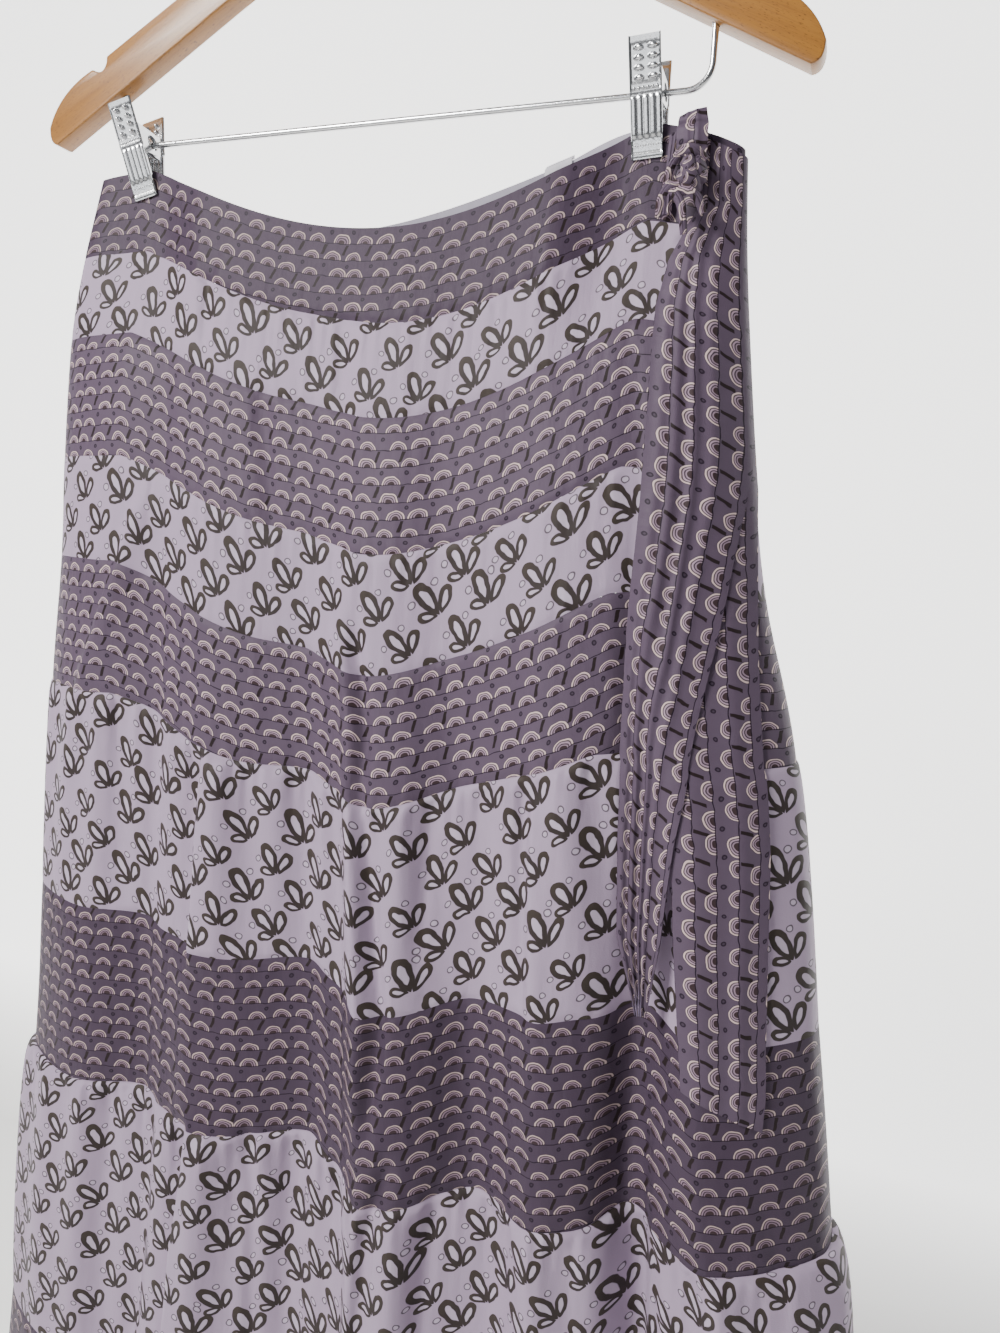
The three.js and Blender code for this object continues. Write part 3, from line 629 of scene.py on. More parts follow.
class Num:
    """A value inside a material's nodes, with the usual arithmetic."""

    def __init__(self, tree: bpy.types.NodeTree, socket: bpy.types.NodeSocket) -> None:
        """Wraps an output socket."""
        self.tree = tree
        self.socket = socket

    def op(self, kind: str, *others: "Num | float", clamp: bool = False) -> "Num":
        """The result of a Math node on this value and others."""
        node = self.tree.nodes.new("ShaderNodeMath")
        node.operation = kind
        node.use_clamp = clamp
        for socket, value in zip(node.inputs, (self, *others)):
            if isinstance(value, Num):
                self.tree.links.new(value.socket, socket)
            else:
                socket.default_value = value
        return Num(self.tree, node.outputs[0])

    def __add__(self, other: "Num | float") -> "Num":
        """Sum."""
        return self.op("ADD", other)

    def __sub__(self, other: "Num | float") -> "Num":
        """Difference."""
        return self.op("SUBTRACT", other)

    def __mul__(self, other: "Num | float") -> "Num":
        """Product."""
        return self.op("MULTIPLY", other)

    def __truediv__(self, other: "Num | float") -> "Num":
        """Quotient."""
        return self.op("DIVIDE", other)

    def __abs__(self) -> "Num":
        """Size without sign."""
        return self.op("ABSOLUTE")

    def below(self, edge: float, soft: float) -> "Num":
        """1 where the value is under edge and 0 where it is over, soft wide."""
        return self.op("MULTIPLY_ADD", -1 / soft, edge / soft + 0.5, clamp=True)


class Dye:
    """A material in the making: its shader, its coordinates and the colours laid over each other."""

    def __init__(self, name: str, base: str, **sockets: float) -> None:
        """Starts from a base colour and constant values on the shader's own sockets."""
        self.material = bpy.data.materials.new(name)
        self.material.use_nodes = True
        self.tree = self.material.node_tree
        self.shader = self.tree.nodes["Principled BSDF"]
        for key, value in sockets.items():
            self.shader.inputs[key.replace("_", " ")].default_value = value
        colour = self.tree.nodes.new("ShaderNodeRGB")
        colour.outputs[0].default_value = linear(base)
        self.colour = colour.outputs[0]

    def axes(self, kind: str, scale: float) -> tuple[Num, Num, Num]:
        """X, Y and Z of a coordinate output, times scale."""
        source = self.tree.nodes.new("ShaderNodeTexCoord").outputs[kind]
        split = self.tree.nodes.new("ShaderNodeSeparateXYZ")
        self.tree.links.new(source, split.inputs[0])
        return tuple(Num(self.tree, socket) * scale for socket in split.outputs)

    def vector(self, *parts: "Num | float") -> bpy.types.NodeSocket:
        """A vector from three values."""
        node = self.tree.nodes.new("ShaderNodeCombineXYZ")
        for socket, value in zip(node.inputs, parts):
            if isinstance(value, Num):
                self.tree.links.new(value.socket, socket)
            else:
                socket.default_value = value
        return node.outputs[0]

    def noise(
        self, place: bpy.types.NodeSocket, scale: float, detail: float = 2.0, rough: float = 0.5
    ) -> Num:
        """Even noise around 0.5."""
        node = self.tree.nodes.new("ShaderNodeTexNoise")
        node.inputs["Scale"].default_value = scale
        node.inputs["Detail"].default_value = detail
        node.inputs["Roughness"].default_value = rough
        self.tree.links.new(place, node.inputs["Vector"])
        return Num(self.tree, node.outputs["Fac"])

    def random(self, place: bpy.types.NodeSocket) -> tuple[Num, Num, Num]:
        """Three random values for each whole-numbered place."""
        node = self.tree.nodes.new("ShaderNodeTexWhiteNoise")
        node.noise_dimensions = "3D"
        self.tree.links.new(place, node.inputs["Vector"])
        split = self.tree.nodes.new("ShaderNodeSeparateXYZ")
        self.tree.links.new(node.outputs["Color"], split.inputs[0])
        return tuple(Num(self.tree, socket) for socket in split.outputs)

    def cover(self, colour: str, mask: "Num", strength: float = 1.0) -> None:
        """Lays a colour over what is there where mask is 1."""
        node = self.tree.nodes.new("ShaderNodeMix")
        node.data_type = "RGBA"
        if strength != 1.0:
            mask = mask * strength
        self.tree.links.new(mask.socket, node.inputs["Factor"])
        self.tree.links.new(self.colour, node.inputs["A"])
        node.inputs["B"].default_value = linear(colour)
        self.colour = node.outputs["Result"]

    def bump(self, *layers: tuple[Num, float]) -> None:
        """Adds bumps, each a height value and its size in millimetres."""
        normal = None
        for height, size in layers:
            node = self.tree.nodes.new("ShaderNodeBump")
            node.inputs["Strength"].default_value = 1.0
            node.inputs["Distance"].default_value = size * MM
            self.tree.links.new(height.socket, node.inputs["Height"])
            if normal is not None:
                self.tree.links.new(normal, node.inputs["Normal"])
            normal = node.outputs["Normal"]
        self.tree.links.new(normal, self.shader.inputs["Normal"])

    def rough(self, value: Num) -> None:
        """Links the roughness."""
        self.tree.links.new(value.socket, self.shader.inputs["Roughness"])

    def done(self) -> bpy.types.Material:
        """Links the colour and returns the material."""
        self.tree.links.new(self.colour, self.shader.inputs["Base Color"])
        return self.material


@dataclass(frozen=True)
class Cloth:
    """What the printed cloths share: thread, small wrinkles and sheen. Print units are millimetres."""

    name: str
    reverse: bool = False
    jitter: float = 0.5

    def start(self, ground: str) -> tuple[Dye, Num, Num]:
        """A material of plain cloth, and the cloth's u to the right and v down, a little unsteady.

        Args:
            ground: The colour of the cloth.

        Returns:
            The material in the making and the two print coordinates.
        """
        dye = Dye(self.name, ground, Roughness=0.5, Sheen_Weight=0.03, Sheen_Roughness=0.4)
        dye.shader.inputs["Specular IOR Level"].default_value = 0.12
        u, v, _ = dye.axes("UV", 1000.0)
        v = v * -1.0
        near = dye.vector(u, v, 0.0)
        drift_u = (dye.noise(near, 0.16, 1.0) - 0.5) * (4 * self.jitter)
        drift_v = (dye.noise(dye.vector(v, u, 7.0), 0.16, 1.0) - 0.5) * (4 * self.jitter)
        thread = dye.noise(dye.vector(u * 0.45, v, 0.0), 2.6, 1.0)
        wrinkle = dye.noise(dye.vector(u * 1.6, v * 0.4, 3.0), 0.05, 3.0, 0.55)
        dye.bump((wrinkle, 1.1), (thread, 0.11))
        dye.rough((dye.noise(near, 0.5, 2.0) - 0.5) * 0.16 + 0.5)
        return dye, u + drift_u, v + drift_v


@dataclass(frozen=True)
class ArchPrint(Cloth):
    """Rows of small banded arches on a dark mauve ground, with dots and slanted bars between them."""

    pitch: float = 9.1
    spacing: float = 13.8
    leg: float = 0.6
    ground: str = "574a5a"
    faded: str = "7d7188"
    ink: str = "201823"
    cream: str = "ccb6b3"
    lilac: str = "a48d9e"
    centre: str = "3a2d30"
    brown: str = "271e20"

    def build(self) -> bpy.types.Material:
        """The material."""
        dye, u, v = self.start(self.faded if self.reverse else self.ground)
        strength = 0.35 if self.reverse else 1.0
        row = (v / self.pitch).op("FLOOR")
        odd = row.op("FLOORED_MODULO", 2.0)
        even = odd.below(0.5, 0.1)
        up = (row + 1.0) * self.pitch - v
        along = u + odd * (self.spacing * 0.2)
        cell = (along / self.spacing).op("FLOOR")
        chance = dye.random(dye.vector(cell, row, 0.0))
        dx = along - (cell + 0.5) * self.spacing + (chance[0] - 0.5) * 4.2
        rise = (up - self.leg).op("MAXIMUM", 0.0) * 1.14
        size = (chance[1] - 0.5) * 0.24 + 1.0
        radius = (dx * dx + rise * rise).op("SQRT") * size
        between = (along + self.spacing / 2) / self.spacing
        other = dye.random(dye.vector(between.op("FLOOR"), row, 5.0))
        gap = (between.op("FRACT") - 0.5) * self.spacing + (other[0] - 0.5) * 1.2
        high = up - (self.pitch - 2.8)
        dot = (gap * gap + high * high).op("SQRT")
        dye.cover(self.ink, dot.below(1.2, 0.3) * even, 0.9 * strength)
        dye.cover(self.ground, dot.below(0.55, 0.3) * even, 0.5 * strength)
        middle = up - (self.pitch - 3.3)
        slant = gap - middle * 0.36
        bar = abs(slant).below(0.9, 0.3) * abs(middle).below(2.9, 0.3) * odd
        dye.cover(self.brown, bar, strength)
        for colour, reach, part in (
            (self.ink, 4.95, 0.6),
            (self.cream, 4.7, 1.0),
            (self.ink, 4.05, 0.9),
            (self.lilac, 3.5, 1.0),
            (self.ink, 2.9, 0.9),
            (self.lilac, 2.35, 0.7),
            (self.centre, 1.8, 1.0),
        ):
            dye.cover(colour, radius.below(reach, 0.26), part * strength)
        dye.cover(self.ink, up.below(0.5, 0.22), 0.95 * strength)
        return dye.done()


@dataclass(frozen=True)
class Petal:
    """One petal of the leaf print, y up: pointed at its foot, rounded at its tip, half is half its width."""

    foot: tuple[float, float]
    tip: tuple[float, float]
    half: float

    def inner(self) -> "Petal":
        """The pale slit inside the petal."""
        (ax, ay), (bx, by) = self.foot, self.tip
        dx, dy = bx - ax, by - ay
        return Petal((ax + dx * 0.2, ay + dy * 0.2), (ax + dx * 0.8, ay + dy * 0.8), self.half * 0.42)

    def outside(self, x: Num, y: Num) -> tuple[Num, Num]:
        """How far a point lies outside the petal, and how far along it that is, from 0 to 1."""
        (ax, ay), (bx, by) = self.foot, self.tip
        length = math.hypot(bx - ax, by - ay)
        wx, wy = (bx - ax) / length, (by - ay) / length
        px, py = x - ax, y - ay
        share = ((px * wx + py * wy) / length).op("MINIMUM", 1.0).op("MAXIMUM", 0.0)
        swell = share.op("POWER", 0.75) * (share * -1.0 + 1.0).op("POWER", 0.45)
        return abs(px * wy - py * wx) - swell * (2.21 * self.half) + 0.18, share


@dataclass(frozen=True)
class LeafPrint(Cloth):
    """Fans of three thickly drawn petals and two small rings on pale lilac."""

    cell_u: float = 29.5
    cell_v: float = 36.0
    step: float = -1.5
    second: tuple[float, float] = (14.8, 19.0)
    petals: tuple[Petal, ...] = (
        Petal((-0.2, 0.1), (-9.4, 15.2), 4.1),
        Petal((0.6, 0.3), (4.5, 12.2), 3.2),
        Petal((-0.9, -0.2), (-9.6, 0.9), 2.7),
    )
    rings: tuple[tuple[float, float], ...] = ((-1.6, 14.6), (-11.4, 6.6))
    ground: str = "a493a9"
    faded: str = "b3a6ba"
    pale: str = "b3a5b8"
    ink: str = "362f2e"
    olive: str = "423a34"

    def build(self) -> bpy.types.Material:
        """The material."""
        dye, u, v = self.start(self.faded if self.reverse else self.ground)
        strength = 0.3 if self.reverse else 1.0
        for index, (du, dv) in enumerate(((0.0, 0.0), self.second)):
            self.lattice(dye, u - du, v - dv, index, strength)
        return dye.done()

    def lattice(self, dye: Dye, u: Num, v: Num, index: int, strength: float) -> None:
        """Lays one lattice of motifs over the cloth."""
        column = (u / self.cell_u).op("FLOOR")
        v = v + column * self.step
        row = (v / self.cell_v).op("FLOOR")
        chance = dye.random(dye.vector(column, row, float(index)))
        size = (chance[0] - 0.5) * 0.2 + 0.92
        x = (u - (column + 0.64) * self.cell_u + (chance[1] - 0.5) * 2.4) * size
        y = ((row + 0.74) * self.cell_v - v + (chance[0] - 0.5) * 2.4) * size
        turn = (chance[2] - 0.5) * 0.5
        x, y = x - y * turn, y + x * turn
        for petal in self.petals:
            away, share = petal.outside(x, y)
            ink = away.below(0.0, 0.3)
            dye.cover(self.ink, ink, strength)
            dye.cover(self.olive, ink * (share - 0.55).op("MULTIPLY", 2.2, clamp=True), 0.8 * strength)
            slit, _ = petal.inner().outside(x, y)
            dye.cover(self.pale, slit.below(0.0, 0.3), strength)
        for ax, ay in self.rings:
            px, py = x - ax, y - ay
            away = (px * px + py * py).op("SQRT")
            dye.cover(self.ink, away.below(1.75, 0.3), 0.85 * strength)
            dye.cover(self.pale, away.below(1.2, 0.3), strength)


@dataclass(frozen=True)
class PlainCloth(Cloth):
    """Plain woven cloth, for the facing and the label."""

    ground: str = "b5b0bd"

    def build(self) -> bpy.types.Material:
        """The material."""
        dye, u, v = self.start(self.ground)
        fade = dye.noise(dye.vector(u, v, 1.0), 0.12, 3.0)
        dye.cover("8f899a", fade, 0.35)
        return dye.done()


@dataclass(frozen=True)
class Thread(Cloth):
    """Sewing thread."""

    ground: str = "7d7187"

    def build(self) -> bpy.types.Material:
        """The material."""
        dye = Dye(self.name, self.ground, Roughness=0.6, Sheen_Weight=0.3)
        x, y, z = dye.axes("Object", 1000.0)
        dye.cover("5c5166", dye.noise(dye.vector(x, y, z), 1.2, 1.0), 0.5)
        return dye.done()


@dataclass(frozen=True)
class HoneyWood:
    """Lacquered pale wood whose grain runs out along each arm."""

    slope: float = 0.513
    light: str = "9a6829"
    dark: str = "6b4015"
    fleck: str = "4a260c"

    def build(self) -> bpy.types.Material:
        """The material."""
        dye = Dye("honey_wood", self.light, Roughness=0.34, Coat_Weight=0.15, Coat_Roughness=0.2)
        x, y, z = dye.axes("Object", 1000.0)
        cosine, sine = math.cos(math.atan(self.slope)), math.sin(math.atan(self.slope))
        along = abs(x) * cosine - z * sine
        across = z * cosine + abs(x) * sine
        arm = x.below(0.0, 0.1) * 40.0
        bands = dye.noise(dye.vector(along * 0.012, across * 0.22 + arm, y * 0.22), 1.0, 3.0, 0.6)
        dye.cover(self.dark, (bands - 0.42).op("MULTIPLY", 2.2, clamp=True), 0.55)
        fine = dye.noise(dye.vector(along * 0.06, across * 1.6 + arm, y * 1.6), 1.0, 2.0)
        dye.cover(self.dark, (fine - 0.5).op("MULTIPLY", 3.0, clamp=True), 0.45)
        fleck = dye.noise(dye.vector(along * 0.4, across * 2.4 + arm, y * 1.4), 1.0, 1.0)
        dye.cover(self.fleck, (fleck - 0.63).op("MULTIPLY", 14.0, clamp=True), 0.7)
        dye.bump((fine, 0.08))
        dye.rough(fine * 0.12 + 0.27)
        return dye.done()


@dataclass(frozen=True)
class Chrome:
    """Bright plated steel, unevenly rough and a little dusty."""

    name: str = "chrome"
    base: str = "d9dadc"

    def build(self) -> bpy.types.Material:
        """The material."""
        dye = Dye(self.name, self.base, Metallic=1.0, Roughness=0.16)
        x, y, z = dye.axes("Object", 1000.0)
        place = dye.vector(x, y, z)
        dust = dye.noise(place, 0.35, 3.0, 0.6)
        dye.cover("9b9c9f", (dust - 0.5).op("MULTIPLY", 2.4, clamp=True), 0.5)
        dye.rough((dye.noise(place, 1.6, 2.0) - 0.5) * 0.16 + 0.19)
        dye.bump((dye.noise(place, 0.9, 1.0), 0.05))
        return dye.done()


@dataclass
class Finishes:
    """Every finish, built once."""

    arch: bpy.types.Material = field(default_factory=lambda: ArchPrint("arch_print").build())
    # A darker copy of the arch print: painted shade for the yoke and the lower tiers.
    arch_painted_shade: bpy.types.Material = field(
        default_factory=lambda: ArchPrint(
            "arch_print_painted_shade", ground="463a49", cream="b39f9c", lilac="8b7585"
        ).build()
    )
    arch_inside: bpy.types.Material = field(default_factory=lambda: ArchPrint("arch_inside", True).build())
    leaf: bpy.types.Material = field(default_factory=lambda: LeafPrint("leaf_print").build())
    leaf_inside: bpy.types.Material = field(default_factory=lambda: LeafPrint("leaf_inside", True).build())
    facing: bpy.types.Material = field(default_factory=lambda: PlainCloth("facing_cloth").build())
    label: bpy.types.Material = field(
        default_factory=lambda: PlainCloth("label_cloth", ground="dcdae0").build()
    )
    thread: bpy.types.Material = field(default_factory=lambda: Thread("thread").build())
    wood: bpy.types.Material = field(default_factory=lambda: HoneyWood().build())
    chrome: bpy.types.Material = field(default_factory=lambda: Chrome().build())

    def cloth(self, kind: Print, painted_shade: bool = True) -> list:
        """The outer and the inner finish of a printed cloth; the flag picks a darker copy of the arch print,
        which is painted shade.
        """
        if kind is Print.ARCH:
            return [self.arch_painted_shade if painted_shade else self.arch, self.arch_inside]
        return [self.leaf, self.leaf_inside]


# ---------------------------------------------------------------- the skirt


@dataclass(frozen=True)
class Cut:
    """A cloth and the width and length, in millimetres, that it was cut to."""

    piece: bpy.types.Object
    width: float
    length: float

    @classmethod
    def of(cls, piece: bpy.types.Object, grid: Array, gathered: float = 1.0) -> "Cut":
        """The cut of a cloth with this outer face, gathered times as wide as it hangs."""
        width = float(arc_lengths(grid[len(grid) // 2][None], 1)[0, -1]) * gathered
        return cls(piece, width, float(arc_lengths(grid, 0)[-1].mean()))

    def declare(self, held: str, rests_on: list, extra: list | None = None) -> None:
        LOG.info("%s: cut %.0f x %.0f mm", self.piece.name, self.width, self.length)


@dataclass
class Skirt:
    """The printed panels of the skirt, from the yoke to the hem, with its facing and label."""

    finishes: Finishes
    columns: dict[Side, int] = field(default_factory=lambda: {F: 300, B: 220})
    gathered_columns: dict[Side, int] = field(default_factory=lambda: {F: 380, B: 280})
    row_step: float = 4.5
    near_seam: tuple[float, ...] = (0.0, 0.9, 1.9, 3.0, 4.4, 6.2, 8.6, 12.0)
    seam_gap: float = 0.06
    facing_span: float = 0.862
    facing_inset: float = 0.25
    facing_wall: float = 0.7
    label_x: tuple[float, float] = (88.0, 103.0)
    label_rows: tuple[float, float] = (-0.06, 0.16)
    label_drop: float = 42.0
    label_gap: float = 0.5
    label_wall: float = 0.6
    hem_up: float = 18.0
    stitch_pitch: float = 3.0
    stitch_size: tuple[float, float, float] = (0.22, 0.22, 1.1)
    print_shift: tuple[float, float] = (37.0, 23.0)
    print_level: float = 0.65

    def places(self, side: Side, tier: Tier) -> Array:
        """Places across a panel, closer together at its rounded side edges."""
        count = (self.gathered_columns if tier.gather else self.columns)[side]
        edge = FORM.edge_round
        near = 1 - edge * np.array([0.0, 0.06, 0.2, 0.42, 0.7])
        inner = np.linspace(-1 + edge, 1 - edge, count)
        return np.concatenate([-near, inner, near[::-1]])

    def rows(self, index: int) -> Array:
        """Shares down a tier, closer together near its two seams."""
        height = LEVELS[index].side - LEVELS[index + 1].side
        near = np.array(self.near_seam)
        near = near[near < height * 0.3]
        middle = np.arange(near[-1] + self.row_step, height - near[-1] - 1, self.row_step)
        return np.concatenate([near, middle, height - near[::-1]]) / height

    def panel(self, side: Side, index: int) -> Cut:
        """One panel of one tier, standing for its solid."""
        tier = TIERS[index]
        t, share = self.places(side, tier), self.rows(index)
        v = index + np.clip(share, 1e-6, 1 - 1e-6)
        grid = FORM.point(side, t[None, :], v[:, None], np.array(index))
        grid[0, :, 2] -= self.seam_gap if index else 0
        grid[-1, :, 2] += self.seam_gap if index < len(TIERS) - 1 else 0
        middle = FORM.point(side, t, np.full_like(t, index + 0.5), np.array(index), spans=True)
        u = arc_lengths(middle[None], 1)[0]
        u = lerp(u - u[-1] / 2, middle[:, 0] - middle[:, 0].mean(), self.print_level) * (-side.sign)
        down = arc_lengths(grid, 0)
        shift_u, shift_v = self.print_shift
        uv = np.stack([np.broadcast_to(u + shift_u * index, down.shape), -down - shift_v * index], -1) * MM
        hint = np.array([0.0, side.sign, 0.0])
        node = f"{tier.name}_{side.value}"
        dress = self.finishes.cloth(tier.cloth, tier.painted_shade)
        piece = cloth_shell(node + "_cloth", grid, uv, tier.wall, hint, dress)
        return Cut.of(settle(piece, tier.cloth.value, node), grid, tier.gathered_cut)

    def hem_stitches(self, side: Side) -> bpy.types.Object:
        """The line of stitches that holds the hem up."""
        last = len(TIERS) - 1
        height = LEVELS[last].side - LEVELS[last + 1].side
        t = np.linspace(-0.985, 0.985, 700)
        line = FORM.point(side, t, np.full_like(t, last + 1 - self.hem_up / height), np.array(last))
        line[:, 1] += side.sign * 0.12
        name, thread = f"hem_stitches_{side.value}", self.finishes.thread
        return beads(name, [line], thread, self.stitch_pitch, Vector(self.stitch_size))

    def inside(self, t: Array, share: Array, inward: float) -> Array:
        """Points on the back yoke's inner side, moved in."""
        grid = FORM.point(B, t[None, :], share[:, None], np.array(0))
        return grid - outward_normals(grid, np.array([0.0, 1.0, 0.0])) * (TIERS[0].wall + inward)

    def facing(self) -> Cut:
        """The plain strip that faces the back of the waist."""
        t = np.linspace(-self.facing_span, self.facing_span, 200)
        grid = self.inside(t, np.linspace(0.01, 0.5, 14), self.facing_inset)
        across = arc_lengths(grid[:1], 1)[0]
        uv = np.stack([np.broadcast_to(across, grid.shape[:2]), -arc_lengths(grid, 0)], -1) * MM
        hint = np.array([0.0, 1.0, 0.0])
        piece = cloth_shell("waist_facing_cloth", grid, uv, self.facing_wall, hint, [self.finishes.facing])
        return Cut.of(settle(piece, "facing_cloth", "waist_facing_back"), grid)

    def label(self) -> Cut:
        """The small blank label sewn to the facing."""
        first, last = (float(FORM.place(np.array(x), np.array(0.0))) for x in self.label_x)
        share = np.linspace(*self.label_rows, 12)
        t = np.linspace(first, last, 16)
        inward = self.facing_inset + self.facing_wall + self.label_gap
        grid = self.inside(t, np.clip(share, 0, 1), inward)
        top = FORM.point(B, t[None, :], np.zeros((1, 1)), np.array(0))[0, :, 2]
        grid[:, :, 2] = top - share[:, None] * self.label_drop
        grid[:, :, 1] -= self.label_gap * np.sin(np.linspace(0, math.pi, 16))[None, :]
        uv = np.stack([grid[..., 0], grid[..., 2]], -1) * MM
        hint = np.array([0.0, 1.0, 0.0])
        piece = cloth_shell("waist_label_cloth", grid, uv, self.label_wall, hint, [self.finishes.label])
        return Cut.of(settle(piece, "label_cloth", "waist_label_blank"), grid)

    def build(self) -> None:
        """Builds and dresses every piece and logs each cloth's cut."""
        for side in Side:
            above = ["clip_left_front", "clip_right_front"]
            for index, tier in enumerate(TIERS):
                cut = self.panel(side, index)
                extra = []
                if index == len(TIERS) - 1:
                    extra = [settle(self.hem_stitches(side), tier.cloth.value)]
                cut.declare("gathered" if tier.gathered_cut > 1 else "hung", above, extra)
                above = [cut.piece]
        facing = self.facing()
        facing.declare("hung", ["clip_left_back", "clip_right_back"])
        self.label().declare("hung", [facing.piece])


# ---------------------------------------------------------------- the sash


@dataclass(frozen=True)
class TailRow:
    """The two edges of a hanging tail at one height."""

    z: float
    left: float
    right: float


@dataclass(frozen=True)
class Tail:
    """A hanging tail: its rows, its cut ends, how far it lies off the skirt and its pleats."""

    name: str
    rows: tuple[TailRow, ...]
    top_slant: float
    tip_slant: float
    base: float
    pleats: tuple[tuple[float, float, float], ...]
    lift: float


OVER = Tail(
    "sash_tail_over",
    tuple(
        TailRow(*row)
        for row in (
            (-229, 171, 230),
            (-262, 172, 230),
            (-285, 160, 230),
            (-308, 156, 230),
            (-345, 156.5, 203.5),
            (-385, 157.5, 205),
            (-400, 158, 204),
            (-425, 158, 201),
            (-465, 157, 197),
            (-505, 157, 192),
            (-560, 158.5, 187.5),
            (-610, 162, 185.5),
            (-648, 175, 181),
        )
    ),
    8,
    0,
    3.3,
    ((0.12, 0.07, 1.8), (0.3, 0.06, 2.2), (0.47, 0.05, 1.9), (0.62, 0.06, 1.2)),
    0.6,
)
UNDER = Tail(
    "sash_tail_under",
    tuple(
        TailRow(*row)
        for row in (
            (-268, 166, 186),
            (-310, 161, 197),
            (-345, 162, 203),
            (-385, 163, 207),
            (-424, 165, 211),
            (-470, 171, 216),
            (-520, 179, 223),
            (-564, 186, 228.5),
            (-610, 191, 232),
            (-650, 197, 235.5),
            (-680, 201, 238.2),
        )
    ),
    0,
    17,
    1.4,
    ((0.3, 0.14, 0.9), (0.72, 0.1, 1.1)),
    0.0,
)


